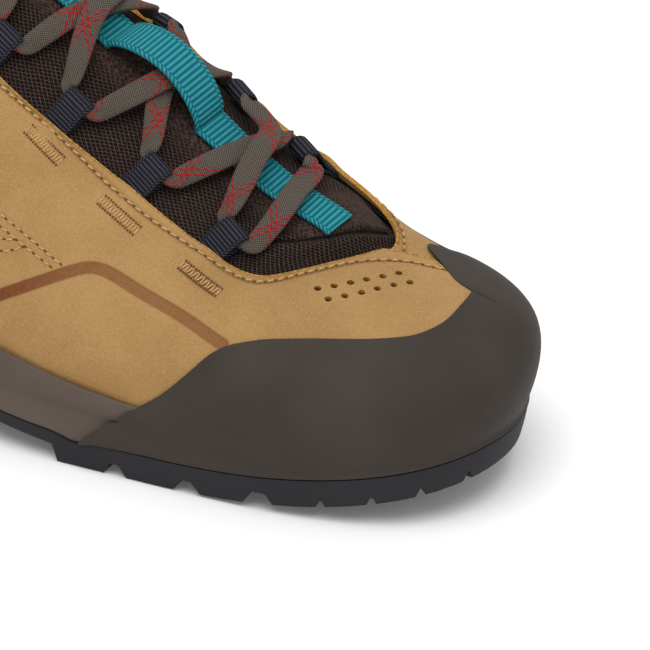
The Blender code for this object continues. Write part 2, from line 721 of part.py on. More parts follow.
def make_tongue():
    rows = np.linspace(0, len(TONGUE) - 1, 22)[:, None]
    across = np.array([-1.0, -0.72, -0.56, -0.36, -0.12, 0.12, 0.36, 0.56, 0.72, 1.0])[None]
    thick = TONGUE_THICK * (1 - 0.45 * np.abs(across) ** 4)

    def build(form):
        slab(form, tongue(rows, across), tongue(rows, across, -thick))

    new_object("tongue", "mesh", build)


def webbing_lift(rows):
    start, end = ARCH_ROWS
    share = np.clip((rows - start) / (end - start), 0, 1)
    return ARCH_HIGH * np.sin(np.pi * share) ** 0.8


def make_webbing():
    """The strip down the crest of the tongue, pointed at its lower end and raised to hold the lace."""
    start, end = WEBBING_ROWS
    rows = np.concatenate([[start, start + 0.1, start + 0.25], np.linspace(start + 0.5, end, 27)])[:, None]
    point = np.clip((rows - start) / 0.25, 0, 1)
    width = 0.135 * (0.35 + 0.65 * point)
    side = np.array([-1.0, 0.0, 1.0])[None]

    def build(form):
        base = webbing_lift(rows) + GAP
        slab(form, tongue(rows, side * width, base + WEBBING_THICK), tongue(rows, side * width, base))

    new_object("tongue_webbing", "webbing_teal", build)


def make_loops():
    for number, pair in enumerate(LOOPS, 1):
        for side, row, name in ((-1, pair[0], "lateral"), (1, pair[1], "medial")):
            make_loop(f"lace_loop_{name}_{number}", row, side)


def loop_frame(row, side):
    """The leather's edge at a loop, the ways in, up and along, and the middle of the lace's hole."""
    edge = tongue(row, side * EDGE_Q)
    half_way = side * (EDGE_Q + LOOP_Q) / 2
    inward = unit(tongue(row, side * LOOP_Q) - edge)
    up = tongue(row, half_way, 1.0) - tongue(row, half_way)
    up = unit(up - inward * np.dot(up, inward))
    along = np.cross(inward, up) * side
    return edge, inward, up, along, edge + inward * LOOP_REACH + up * LOOP_HIGH


def loop_profile():
    """Outer and inner outline of the folded band: inward from the leather's edge, and up from the tongue."""
    centre = np.array([LOOP_REACH, LOOP_HIGH])
    angles = np.radians(np.linspace(-90, 90, 6))
    turn = np.stack([np.cos(angles), np.sin(angles)], -1)
    hole = LACE_RADIUS + GAP
    outside = np.concatenate([[(LOOP_START, 0.7)], centre + turn * (hole + LOOP_BAND), [(LOOP_START, 3.5)]])
    inside = np.concatenate([[(LOOP_START + 1.8, 1.7)], centre + turn * hole, [(LOOP_START + 1.8, 3.5)]])
    return outside, inside


def make_loop(name, row, side):
    edge, inward, up, along, _ = loop_frame(row, side)
    outside, inside = loop_profile()

    def build(form):
        rings = []
        for outline, half in ((outside, -1), (outside, 1), (inside, 1), (inside, -1)):
            rings.append([edge + inward * b + up * n + along * half * LOOP_WIDTH / 2 for b, n in outline])
        grid = add_points(form, np.array(rings).transpose(1, 0, 2))
        weave(form, np.concatenate([grid, grid[:, :1]], 1), closed=True)

    new_object(name, "webbing_navy", build)


def through_loop(number, side):
    """The straight stretch of lace in a loop, from its toe end to its heel end."""
    row = LOOPS[number][0 if side < 0 else 1]
    _, inward, up, along, centre = loop_frame(row, side)
    reach = LOOP_WIDTH / 2 + 0.4
    ends = [centre + along * way * reach for way in (-1, 1)]
    turns = [centre + along * way * (reach + 2.0) + inward * 1.8 + up * 0.3 for way in (-1, 1)]
    return row, [turns[0], ends[0], ends[1], turns[1]]


def crossing(row_a, row_b, side, high):
    """Places of a strand over the tongue, from one side to the other."""
    shares = np.array([0.24, 0.5, 0.76])
    rows = row_a + (row_b - row_a) * shares
    lift = np.array([(high + LOOP_HIGH) / 2 + 0.9, high, (high + LOOP_HIGH) / 2 + 0.9])
    return list(tongue(rows, side * LOOP_Q * (1 - 2 * shares), lift))


def lace_route():
    """The lace from one top loop down to the toe and up to the other, with a bar across at the toe."""

    def climb(side):
        over = side < 0
        places = []
        for number in range(len(LOOPS)):
            row, stretch = through_loop(number, side)
            places += stretch
            if number + 1 < len(LOOPS):
                next_row = LOOPS[number + 1][1 if side < 0 else 0]
                places += crossing(row + 0.4, next_row - 0.4, side, LACE_OVER if over else LACE_UNDER)
            side = -side
        return places

    outer, inner = LOOPS[0]
    return climb(-1)[::-1] + crossing(outer - 0.4, inner - 0.4, -1, LACE_UNDER + 0.3) + climb(1)


def make_lace():
    places = np.array(lace_route())
    gaps = np.linalg.norm(np.diff(places, axis=0), axis=1)
    run = np.append(0, np.cumsum(np.sqrt(gaps)))
    counts = np.ceil(gaps / LACE_STEP).astype(int)
    stations = [np.linspace(a, b, count, endpoint=False) for a, b, count in zip(run, run[1:], counts)]
    line = spline(run, places)(np.concatenate([*stations, [run[-1]]]))
    curve = bpy.data.curves.new("lace", "CURVE")
    curve.dimensions = "3D"
    curve.bevel_depth = LACE_RADIUS * MM
    curve.bevel_resolution = 1
    curve.use_fill_caps = True
    track = curve.splines.new("POLY")
    track.points.add(len(line) - 1)
    for point, place in zip(track.points, (line - MIDDLE) * MM):
        point.co = (*place, 1)
    curve.materials.append(MATERIAL["lace"])
    SHOE.objects.link(bpy.data.objects.new("lace", curve))


def make_material(name, colour, roughness, metallic):
    material = bpy.data.materials.new(name)
    material.use_nodes = True
    shader = material.node_tree.nodes["Principled BSDF"]
    shader.inputs["Base Color"].default_value = (*colour, 1)
    shader.inputs["Roughness"].default_value = roughness
    shader.inputs["Metallic"].default_value = metallic
    return material


for thing in list(bpy.data.objects):
    bpy.data.objects.remove(thing)

SHOE = bpy.data.collections.new("approach_shoe")
CUTTERS = bpy.data.collections.new("cutters")
for group in (SHOE, CUTTERS):
    bpy.context.scene.collection.children.link(group)
MATERIAL = {name: make_material(name, *values) for name, values in MATERIALS.items()}

make_outsole()
make_midsole()
make_insole()
make_upper()
make_rand()
make_counter()
make_tongue()
make_webbing()
make_loops()
make_lace()
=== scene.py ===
"""Looks of a low approach shoe for the right foot: nubuck, rubber rand and sole, mesh tongue and flat lace.

Sizes are millimetres, in the part's own working frame: x from heel to toe, y to the inner side, z up.
Round the shoe a place is (u, v): u goes once round from the heel along the outer side, the toe and the
inner side, and v climbs from the feather line, where the upper meets the sole, to the edge of the collar
and throat.
"""

import bmesh
import bpy
import numpy as np
from mathutils import Matrix, Vector


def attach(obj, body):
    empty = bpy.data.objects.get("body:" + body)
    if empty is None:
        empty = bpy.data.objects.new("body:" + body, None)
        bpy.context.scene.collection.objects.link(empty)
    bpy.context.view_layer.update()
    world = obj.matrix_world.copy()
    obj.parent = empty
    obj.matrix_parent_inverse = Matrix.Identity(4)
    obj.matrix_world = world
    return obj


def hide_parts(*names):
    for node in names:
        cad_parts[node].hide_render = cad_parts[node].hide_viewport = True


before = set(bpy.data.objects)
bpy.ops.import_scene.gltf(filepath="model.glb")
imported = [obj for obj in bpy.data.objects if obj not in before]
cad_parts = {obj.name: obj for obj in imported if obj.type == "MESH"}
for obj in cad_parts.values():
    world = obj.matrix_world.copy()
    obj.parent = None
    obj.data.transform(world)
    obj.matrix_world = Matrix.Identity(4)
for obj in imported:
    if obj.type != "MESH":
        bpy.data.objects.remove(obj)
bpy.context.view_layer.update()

MM = 0.001
MIDDLE = np.array([145.5, -1.3, 0.0])  # the part's origin in these tables
UP = np.array([0.0, 0.0, 1.0])
FORWARD = np.array([1.0, 0.0, 0.0])
SIDEWAYS = np.array([0.0, 1.0, 0.0])
NUDGE = 1e-4
WELD = 0.02  # corners nearer than this are one

# The form of the last, a row for each section: its place on the feather line, how far the leather climbs and
# stands out there, its place on the collar or throat, and how it arrives.
FOOT_ROWS = [
    (4.0, 0.0, 24.0),
    (18.0, -29.0, 24.0),
    (48.0, -36.0, 23.0),
    (80.0, -37.0, 21.0),
    (112.0, -39.0, 20.0),
    (142.0, -43.7, 19.0),
    (172.0, -48.4, 17.5),
    (200.0, -46.9, 15.5),
    (227.0, -43.9, 13.0),
    (254.2, -39.8, 12.9),
    (278.2, -29.3, 17.3),
    (288.7, -4.7, 20.3),
    (279.9, 21.7, 18.2),
    (262.9, 37.8, 14.6),
    (238.0, 45.0, 13.0),
    (211.0, 45.0, 14.0),
    (180.0, 38.5, 17.0),
    (148.0, 32.0, 20.0),
    (116.0, 30.0, 22.0),
    (82.0, 33.0, 23.0),
    (48.0, 34.0, 23.0),
    (18.0, 27.0, 24.0),
]
EDGE_ROWS = [
    (8.0, 0.0, 100.0),
    (20.0, -21.0, 97.0),
    (50.0, -33.0, 82.0),
    (82.0, -34.0, 82.0),
    (112.0, -26.0, 100.0),
    (133.0, -22.0, 98.4),
    (156.3, -22.2, 83.1),
    (179.4, -22.5, 71.0),
    (202.3, -22.8, 60.3),
    (224.7, -21.3, 50.2),
    (233.8, -13.5, 48.9),
    (243.9, 3.1, 49.8),
    (247.1, 14.8, 50.3),
    (238.2, 22.4, 55.0),
    (214.0, 23.2, 65.8),
    (190.0, 22.6, 78.4),
    (162.3, 21.5, 91.0),
    (136.0, 21.5, 101.0),
    (112.0, 26.0, 103.0),
    (82.0, 32.0, 87.0),
    (50.0, 31.0, 86.0),
    (20.0, 20.0, 97.0),
]
HANDLE_ROWS = [  # rise, swell, out, drop, forward
    (26.0, 9.0, -3.0, 26.0, 0.0),
    (24.0, 7.0, -1.0, 24.0, 0.0),
    (24.0, 6.0, 2.0, 20.0, 0.0),
    (24.0, 6.0, 3.0, 20.0, 0.0),
    (24.0, 6.0, 8.0, 22.0, 0.0),
    (24.0, 6.0, 13.0, 20.0, 2.0),
    (22.0, 6.0, 14.0, 18.0, 3.0),
    (22.0, 6.0, 14.0, 16.0, 4.0),
    (22.0, 6.0, 14.0, 12.0, 6.0),
    (21.8, 6.0, 16.0, 9.0, 10.0),
    (20.2, 6.1, 14.7, 5.6, 19.9),
    (21.0, 6.9, 5.3, 3.3, 33.3),
    (23.2, 7.5, 10.3, 5.0, 25.3),
    (23.6, 6.4, 6.2, 12.2, 9.3),
    (24.0, 6.0, 9.7, 14.5, 4.8),
    (24.0, 6.0, 13.0, 16.0, 4.0),
    (26.0, 6.0, 12.0, 18.0, 3.0),
    (28.0, 6.0, 10.0, 20.0, 2.0),
    (28.0, 6.0, 6.0, 22.0, 0.0),
    (26.0, 6.0, 3.0, 20.0, 0.0),
    (24.0, 6.0, 2.0, 20.0, 0.0),
    (24.0, 7.0, -1.0, 24.0, 0.0),
]
ARCH = [  # x, how far the outsole's upper face is lifted there
    (74.0, 0.0),
    (88.0, 1.0),
    (104.0, 4.0),
    (122.0, 5.6),
    (142.0, 5.6),
    (160.0, 4.2),
    (176.0, 2.3),
    (190.0, 0.7),
    (202.0, 0.0),
]
TONGUE = [  # where a section leaves the leather's edge on each side, its v there, and its crest's x and z
    (0.447, 0.533, 0.880, 252.0, 44.6),
    (0.440, 0.540, 1.000, 245.2, 45.8),
    (0.428, 0.552, 1.000, 240.6, 51.0),
    (0.415, 0.563, 1.000, 236.0, 55.4),
    (0.400, 0.580, 1.000, 223.5, 59.6),
    (0.380, 0.600, 1.000, 212.0, 65.1),
    (0.355, 0.622, 1.000, 198.0, 73.3),
    (0.325, 0.647, 1.000, 183.0, 82.2),
    (0.298, 0.670, 1.000, 169.5, 91.0),
    (0.275, 0.695, 1.000, 156.5, 98.0),
    (0.250, 0.722, 1.000, 143.0, 104.5),
    (0.225, 0.750, 1.000, 130.0, 110.5),
    (0.205, 0.785, 1.000, 116.0, 117.0),
]
CREST_Y = 4.0
EDGE_Q = 0.72  # how far across the tongue the leather's edge lies, where 1 is the tongue's own edge
LOOP_Q = 0.52  # and the inner end of a lace loop
TONGUE_HIDDEN = 0.115  # how far in v the tongue goes down under the leather
TONGUE_GAP = 0.7
TONGUE_THICK = 3.6
WALL = 2.2  # leather and lining together
COLLAR_PAD = 4.4
COLLAR_ENDS = (0.225, 0.045)  # where the padded collar ends on each side of the heel, and over how much of u
PAD_FADE = (0.62, 0.84)  # the v where the padding starts and where it is full
GAP = 0.35  # between pieces that lie on each other
SOLE_THICK = 7.5
SOLE_DIP = (196.0, 1.5, 4.0)  # where the foam dips into the outsole before the rand, how deep and how far
SOLE_STRIP = 3.9
SOLE_OUT = 1.8  # how far the outsole's upper edge stands out past the feather line
TREAD_OUT = 0.5  # and its lower edge
ARCH_STEPS = (79.0, 191.0)  # the x of the steps where the tread leaves the floor
STEP_RUN = 1.6
TOE_SPRING = (215.0, 75.0, 11.0)  # where the sole starts to rise, over what length, and how high
HEEL_SPRING = (20.0, 20.0, 3.0)


def second_differences(knots, values, closed):
    """Second derivatives of the cubic spline through the values, closed or with free ends."""
    count = len(knots) - 1
    step = np.diff(knots)
    slope = np.diff(values, axis=0) / step.reshape((-1,) + (1,) * (values.ndim - 1))
    if closed:
        system = np.zeros((count, count))
        right = np.zeros((count,) + values.shape[1:])
        for i in range(count):
            system[i, i] = 2 * (step[i - 1] + step[i])
            system[i, i - 1] += step[i - 1]
            system[i, (i + 1) % count] += step[i]
            right[i] = 6 * (slope[i] - slope[i - 1])
        bend = np.linalg.solve(system, right.reshape(count, -1)).reshape(right.shape)
        return np.concatenate([bend, bend[:1]])
    system = np.eye(count + 1)
    right = np.zeros_like(values, dtype=float)
    for i in range(1, count):
        system[i, i - 1 : i + 2] = (step[i - 1], 2 * (step[i - 1] + step[i]), step[i])
        right[i] = 6 * (slope[i] - slope[i - 1])
    return np.linalg.solve(system, right.reshape(count + 1, -1)).reshape(right.shape)


def spline(knots, values, closed=False):
    """A smooth function through the values at the knots. A closed one repeats after knots[-1]."""
    knots = np.asarray(knots, float)
    values = np.asarray(values, float)
    bend = second_differences(knots, values, closed)

    def at(place):
        place = np.asarray(place, float)
        if closed:
            place = np.mod(place, knots[-1])
        i = np.clip(np.searchsorted(knots, place, side="right") - 1, 0, len(knots) - 2)
        step = knots[i + 1] - knots[i]
        after = (place - knots[i]) / step
        before = 1 - after
        if values.ndim > 1:
            step, after, before = (item[..., None] for item in (step, after, before))
        curve = (before**3 - before) * bend[i] + (after**3 - after) * bend[i + 1]
        return before * values[i] + after * values[i + 1] + curve * step**2 / 6

    return at


def unit(vectors):
    return vectors / np.linalg.norm(vectors, axis=-1, keepdims=True)


def ease(low, high, value):
    """A soft step from 0 at low to 1 at high."""
    share = np.clip((np.asarray(value, float) - low) / (high - low), 0, 1)
    return share * share * (3 - 2 * share)


def last_knots():
    """Where the sections lie round the shoe, by the length of the feather line and of the top edge."""
    foot = np.array(FOOT_ROWS)[:, :2]
    edge = np.array(EDGE_ROWS)
    low = np.linalg.norm(np.roll(foot, -1, 0) - foot, axis=1)
    high = np.linalg.norm(np.roll(edge, -1, 0) - edge, axis=1)
    run = np.cumsum(np.sqrt(low * (low + high) / 2))
    return np.append(0, run) / run[-1]


def last_curve(rows):
    """A smooth closed curve through a table of the last, as a function of u."""
    return spline(last_knots(), np.array([*rows, rows[0]]), closed=True)


FOOT = last_curve(FOOT_ROWS)
EDGE = last_curve(EDGE_ROWS)
HANDLES = last_curve(HANDLE_ROWS)


def outward(u):
    """Level direction out of the shoe at the feather line."""
    along = unit((FOOT(u + NUDGE) - FOOT(u - NUDGE)) * (1, 1, 0))
    return np.stack([along[..., 1], -along[..., 0], 0 * along[..., 0]], -1)


def skin(u, v):
    """The leather's outer face: a Bezier curve in each section, smooth round the shoe."""
    u, v = np.broadcast_arrays(np.asarray(u, float), np.asarray(v, float))
    foot, edge, out_way = FOOT(u), EDGE(u), outward(u)
    rise, swell, out, drop, fwd = (HANDLES(u)[..., i, None] for i in range(5))
    low = foot + UP * rise + out_way * swell
    high = edge - UP * drop + SIDEWAYS * out_way[..., 1:2] * out + FORWARD * fwd
    v = v[..., None]
    w = 1 - v
    return w**3 * foot + 3 * w**2 * v * low + 3 * w * v**2 * high + v**3 * edge


def skin_normal(u, v):
    """The way out of the leather at a place."""
    u, v = np.broadcast_arrays(np.asarray(u, float), np.asarray(v, float))
    round_way = skin(u + NUDGE, v) - skin(u - NUDGE, v)
    below = np.clip(v - NUDGE, 0, None)
    up_way = skin(u, below + 2 * NUDGE) - skin(u, below)
    return unit(np.cross(round_way, up_way))


def toe_spring(x):
    start, run, high = TOE_SPRING
    return np.clip(x - start, 0, None) ** 2 / run**2 * high


def heel_spring(x):
    start, run, high = HEEL_SPRING
    return np.clip(start - x, 0, None) ** 2 / run**2 * high


ARCH_LIFT = spline(*np.array(ARCH).T)


def sole_top(x):
    """Height of the outsole's upper face."""
    x = np.asarray(x, float)
    lift = np.where((x > ARCH[0][0]) & (x < ARCH[-1][0]), ARCH_LIFT(x), 0)
    middle, deep, wide = SOLE_DIP
    dip = deep * np.exp(-(((x - middle) / wide) ** 2))
    return SOLE_THICK + toe_spring(x) + heel_spring(x) + np.clip(lift, 0, None) - dip


def tread(x):
    """Height of the outsole's underside: on the floor at heel and ball, thin under the arch."""
    x = np.asarray(x, float)
    low = toe_spring(x) + heel_spring(x)
    rear, front = ARCH_STEPS
    share = np.clip((x - rear) / STEP_RUN, 0, 1) * np.clip((front - x) / STEP_RUN, 0, 1)
    return low + share * (sole_top(x) - SOLE_STRIP - low)


def shell(u, v, offset):
    """A place on the shoe, offset outwards: leather above the feather line, the sole's wall below."""
    u, v, offset = np.broadcast_arrays(*(np.asarray(item, float) for item in (u, v, offset)))
    above = np.clip(v, 0, 1)
    level = np.clip(v / 0.05, 0, 1)[..., None]
    way = unit(skin_normal(u, above) * level + outward(u) * (1 - level))
    low = np.clip(-v, 0, 1)[..., None]
    place = skin(u, above)
    depth = place[..., 2] - sole_top(place[..., 0]) - GAP
    return place + way * offset[..., None] - UP * low * depth[..., None]


def in_collar(u):
    """1 round the padded collar, 0 along the throat."""
    end, fade = COLLAR_ENDS
    u = np.mod(np.asarray(u, float), 1.0)
    return np.clip((end - np.minimum(u, 1 - u)) / fade, 0, 1)


def wall(u, v):
    """Thickness of the upper: thicker where the collar is padded."""
    return WALL + COLLAR_PAD * in_collar(u) * ease(*PAD_FADE, v)


TONGUE_ROWS = np.arange(len(TONGUE))
TONGUE_SIDES = spline(TONGUE_ROWS, np.array([row[:3] for row in TONGUE]))
TONGUE_CREST = spline(TONGUE_ROWS, np.array([row[3:] for row in TONGUE]))


def under_leather(u, v):
    """A place on the tongue where it lies under the upper."""
    return shell(u, v, -wall(u, v) - TONGUE_GAP)


def tongue_face(row, q):
    """The tongue's upper face: an arc over the crest, and flat flaps under the leather."""
    sides = TONGUE_SIDES(row)
    crest = TONGUE_CREST(row)
    left = under_leather(sides[..., 0], sides[..., 2])
    right = under_leather(sides[..., 1], sides[..., 2])
    top = np.stack([crest[..., 0], 0 * row + CREST_Y, crest[..., 1]], -1)
    bow = 2 * top - (left + right) / 2
    share = np.clip(0.5 + q / (2 * EDGE_Q), 0, 1)[..., None]
    arc = (1 - share) ** 2 * left + 2 * share * (1 - share) * bow + share**2 * right
    hidden = np.clip((np.abs(q) - EDGE_Q) / (1 - EDGE_Q), 0, 1)
    u = np.where(q < 0, sides[..., 0], sides[..., 1])
    flap = under_leather(u, sides[..., 2] - hidden * TONGUE_HIDDEN)
    return np.where(np.abs(q)[..., None] > EDGE_Q, flap, arc)


def tongue(row, q, high=0.0):
    """A place on the tongue: row counts the sections from the toe, q runs across, high is above its face."""
    row, q, high = np.broadcast_arrays(*(np.asarray(item, float) for item in (row, q, high)))
    along = tongue_face(row + 0.02, q) - tongue_face(row - 0.02, q)
    across = tongue_face(row, q + 0.01) - tongue_face(row, q - 0.01)
    return tongue_face(row, q) + unit(np.cross(across, along)) * high[..., None]


def mesh_of(first, second):
    return np.meshgrid(first, second, indexing="ij")


def lengths(places, axis):
    """Length run along each line of places, for a pattern that follows the surface."""
    steps = np.linalg.norm(np.diff(places, axis=axis), axis=-1)
    run = np.cumsum(steps, axis=axis)
    start = np.zeros_like(np.take(run, [0], axis=axis))
    return np.concatenate([start, run], axis=axis)


def surface(name, places, charts, marks=None, weld=False):
    """A sheet from a grid whose corners are put at places; charts holds its pattern map in millimetres."""
    rows, columns = places.shape[0] - 1, places.shape[1] - 1
    form = bmesh.new()
    bmesh.ops.create_grid(form, x_segments=rows, y_segments=columns, size=0.5)
    form.verts.index_update()
    corner = np.array([vert.co[:2] for vert in form.verts]) + 0.5
    i, j = np.rint(corner * (rows, columns)).astype(int).T
    layers = {mark: form.verts.layers.float.new(mark) for mark in marks or {}}
    pattern = form.loops.layers.uv.new("pattern")
    spots = (places[i, j] - MIDDLE) * MM
    chart = charts[i, j]
    for vert, spot in zip(form.verts, spots):
        vert.co = spot
    for mark, layer in layers.items():
        for vert, value in zip(form.verts, marks[mark][i, j]):
            vert[layer] = value
    for face in form.faces:
        for loop in face.loops:
            loop[pattern].uv = chart[loop.vert.index]
    if weld:
        bmesh.ops.remove_doubles(form, verts=form.verts, dist=WELD * MM)
        open_edges = [edge for edge in form.edges if edge.is_boundary]
        bmesh.ops.holes_fill(form, edges=open_edges, sides=0)
        bmesh.ops.recalc_face_normals(form, faces=form.faces)
    return as_piece(name, form)


def as_piece(name, form):
    """Makes an object of a bmesh, smooth shaded."""
    mesh = bpy.data.meshes.new(name)
    form.to_mesh(mesh)
    form.free()
    mesh.shade_smooth()
    piece = bpy.data.objects.new(name, mesh)
    bpy.context.scene.collection.objects.link(piece)
    return piece


def hand_over(piece, finishes, slot, *nodes):
    """Gives a finished piece its materials and its body, and hides the nodes that it stands for. The slot is
    not used.
    """
    for finish in finishes:
        piece.data.materials.append(finish)
    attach(piece, "root")
    if nodes:
        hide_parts(*nodes)


def modifier(piece, kind, **settings):
    made = piece.modifiers.new(kind.lower(), kind)
    for name, value in settings.items():
        setattr(made, name, value)


def rounded(piece, width, segments=2):
    modifier(piece, "BEVEL", width=width * MM, segments=segments, limit_method="ANGLE", angle_limit=0.9)


def settle(piece):
    """Makes a piece's modifiers its own shape."""
    graph = bpy.context.evaluated_depsgraph_get()
    shape = bpy.data.meshes.new_from_object(piece.evaluated_get(graph), depsgraph=graph)
    piece.modifiers.clear()
    piece.data = shape


def closed_sheet(name, outer, inner, marks=None):
    """A sheet with thickness from its two faces, welded all round."""
    ring = np.concatenate([outer, inner[:, ::-1], outer[:, :1]], 1)
    across = np.concatenate([lengths(outer, 1), lengths(outer, 1)[:, ::-1], np.zeros((len(outer), 1))], 1)
    along = np.repeat(lengths(outer, 0)[:, outer.shape[1] // 2][:, None], ring.shape[1], 1)
    if marks:
        marks = {key: np.concatenate([m, m[:, ::-1], m[:, :1]], 1) for key, m in marks.items()}
    return surface(name, ring, np.stack([along, across], -1), marks, weld=True)


def nearest(places, line):
    """Distance from each place to a line of points."""
    best = np.full(places.shape[:-1], np.inf)
    for start, end in zip(line, line[1:]):
        way = end - start
        share = np.clip(((places - start) @ way) / (way @ way), 0, 1)
        gap = np.linalg.norm(places - start - share[..., None] * way, axis=-1)
        best = np.minimum(best, gap)
    return best


def on_skin(track, count=60):
    """A smooth line on the leather through a short list of (u, v) places, evenly spaced."""
    track = np.array(track, float)
    spots = skin(track[:, 0], track[:, 1])
    run = np.append(0, np.cumsum(np.linalg.norm(np.diff(spots, axis=0), axis=1)))
    fine = spline(run, track)(np.linspace(0, run[-1], 400))
    spots = skin(fine[:, 0], fine[:, 1])
    run = np.append(0, np.cumsum(np.linalg.norm(np.diff(spots, axis=0), axis=1)))
    even = np.linspace(0, run[-1], count)
    return np.stack([np.interp(even, run, fine[:, k]) for k in (0, 1)], -1), run[-1]


def mirrored(track):
    """The same line on the inner side of the shoe."""
    return [(1.0 - u, v) for u, v in track]


class Wire:
    """A socket of a material. Arithmetic on it adds Math nodes."""

    def __init__(self, tree, socket):
        self.tree = tree
        self.socket = socket

    def math(self, operation, *values):
        return add_node(self.tree, "ShaderNodeMath", {"operation": operation}, values)[0]

    def __add__(self, other):
        return self.math("ADD", self, other)

    __radd__ = __add__

    def __sub__(self, other):
        return self.math("SUBTRACT", self, other)

    def __rsub__(self, other):
        return self.math("SUBTRACT", other, self)

    def __mul__(self, other):
        return self.math("MULTIPLY", self, other)

    def __truediv__(self, other):
        return self.math("DIVIDE", self, other)

    def __mod__(self, other):
        return self.math("FLOORED_MODULO", self, other)

    def __abs__(self):
        return self.math("ABSOLUTE", self)

    def least(self, other):
        return self.math("MINIMUM", self, other)

    def most(self, other):
        return self.math("MAXIMUM", self, other)

    def step(self, low, high):
        """A soft step from 0 at low to 1 at high."""
        settings = {"interpolation_type": "SMOOTHSTEP"}
        return add_node(self.tree, "ShaderNodeMapRange", settings, (self, low, high, 0.0, 1.0))[0]


def add_node(tree, kind, settings, sockets):
    """Adds a node: its settings first, then the values or links of its sockets. Gives its outputs."""
    made = tree.nodes.new(kind)
    for name, value in settings.items():
        setattr(made, name, value)
    pairs = sockets.items() if isinstance(sockets, dict) else enumerate(sockets)
    for key, value in pairs:
        if isinstance(value, Wire):
            tree.links.new(value.socket, made.inputs[key])
        else:
            made.inputs[key].default_value = value
    return [Wire(tree, output) for output in made.outputs if output.enabled]


class Finish:
    """A material in the making: where its patterns are read, and what they feed."""

    def __init__(self, name, **steady):
        self.material = bpy.data.materials.new(name)
        self.material.use_nodes = True
        self.tree = self.material.node_tree
        self.shader = self.tree.nodes["Principled BSDF"]
        for socket, value in steady.items():
            self.shader.inputs[socket.replace("_", " ")].default_value = value

    def node(self, kind, settings=None, sockets=()):
        return add_node(self.tree, kind, settings or {}, sockets)

    def place(self):
        """Object coordinates."""
        return self.node("ShaderNodeTexCoord")[3]

    def pattern(self):
        """The two coordinates of the piece's own pattern map, in millimetres."""
        chart = self.node("ShaderNodeUVMap", {"uv_map": "pattern"})[0]
        return self.node("ShaderNodeSeparateXYZ", sockets=[chart])[:2]

    def mark(self, name):
        """A value that the piece's own mesh carries at its corners."""
        return self.node("ShaderNodeAttribute", {"attribute_name": name})[2]

    def noise(self, size, detail=2.0):
        """A cloudy pattern whose patches are about size millimetres wide."""
        sockets = {"Vector": self.place(), "Scale": 1 / (size * MM), "Detail": detail}
        return self.node("ShaderNodeTexNoise", sockets=sockets)[0]

    def mix(self, share, first, second):
        first, second = (c if isinstance(c, Wire) else (*c, 1.0) for c in (first, second))
        return self.node("ShaderNodeMix", {"data_type": "RGBA"}, {0: share, 6: first, 7: second})[0]

    def feed(self, colour, roughness, height, distance, strength):
        """Colour, roughness where it changes, and a relief whose height is in millimetres."""
        self.tree.links.new(colour.socket, self.shader.inputs["Base Color"])
        if roughness is not None:
            self.tree.links.new(roughness.socket, self.shader.inputs["Roughness"])
        sockets = {"Height": height, "Distance": distance * MM, "Strength": strength}
        normal = self.node("ShaderNodeBump", sockets=sockets)[0]
        self.tree.links.new(normal.socket, self.shader.inputs["Normal"])
        return self.material


PAINT = 0.79  # the lamps are strong, so that the floor goes white, and the colours are that much darker


def srgb(*seen):
    """A colour as it is seen under these lamps, as linear light."""
    return tuple(PAINT * (((c / 255 + 0.055) / 1.055) ** 2.4 if c > 10 else c / 255 / 12.92) for c in seen)


def nubuck():
    """Tan leather with a fine nap, and a debossed band that is rubbed darker."""
    made = Finish("nubuck", Sheen_Weight=0.06, Sheen_Roughness=0.5, Specular_IOR_Level=0.12)
    nap = made.noise(0.36, 3.0)
    cloud = made.noise(18.0, 3.0)
    grain = made.noise(1.1, 2.0)
    tan = made.mix(cloud.step(0.3, 0.7), srgb(166, 127, 76), srgb(178, 140, 87))
    tan = made.mix(nap.step(0.4, 0.75) * 0.45, tan, srgb(206, 170, 118))
    tan = made.mix((1 - grain.step(0.25, 0.5)) * 0.3, tan, srgb(156, 116, 66))
    forward, _, high = made.node("ShaderNodeSeparateXYZ", sockets=[made.place()])
    tan = made.mix((1 - high.step(0.012, 0.032)) * 0.3, tan, srgb(164, 118, 62))
    band = made.mark("band")
    inside = 1 - band.step(1.2, 1.6)
    outline = band.step(1.1, 1.45) * (1 - band.step(1.5, 1.9))
    rubbed = 0.94 - forward.step(0.015, 0.06) * 0.35 + (grain - 0.5) * 0.3
    tan = made.mix(inside * rubbed, tan, srgb(112, 50, 24))
    tan = made.mix(outline * 0.35, tan, srgb(104, 60, 32))
    fibre = made.noise(0.7, 3.0)
    edge = 1 - (made.mark("edge") + (fibre - 0.5) * 2.0).step(0.65, 1.15)
    tan = made.mix(edge * 0.9, tan, made.mix(fibre.step(0.35, 0.65), srgb(150, 100, 30), srgb(205, 160, 84)))
    height = nap * 0.1 + grain * 0.08 - inside * 0.15 + edge * fibre * 0.5
    return made.feed(tan, 0.86 - nap * 0.1, height, 1.0, 0.8)


def raw_edge():
    """The cut edge of the leather, yellow and fibrous."""
    made = Finish("raw_leather_edge", Sheen_Weight=0.1, Specular_IOR_Level=0.1)
    fibre = made.noise(0.5, 4.0)
    ochre = made.mix(fibre.step(0.3, 0.7), srgb(178, 120, 32), srgb(214, 165, 84))
    return made.feed(ochre, None, fibre, 0.5, 1.0)


def moulded_rubber(name, dark, light, warm, grit):
    """Matt rubber, warmer towards the sole."""
    made = Finish(name, Roughness=0.62, Specular_IOR_Level=0.14)
    speck = made.noise(0.5, 2.0)
    cloud = made.noise(25.0, 3.0)
    colour = made.mix(cloud.step(0.35, 0.65), dark, light)
    low = made.node("ShaderNodeSeparateXYZ", sockets=[made.place()])[2]
    colour = made.mix((1 - low.step(0.008, 0.034)) * 0.6, colour, warm)
    colour = made.mix(speck.step(0.6, 0.8) * 0.25, colour, light)
    return made.feed(colour, 0.6 + cloud * 0.12, speck * 0.1 + made.noise(1.2) * 0.1, grit, 0.6)


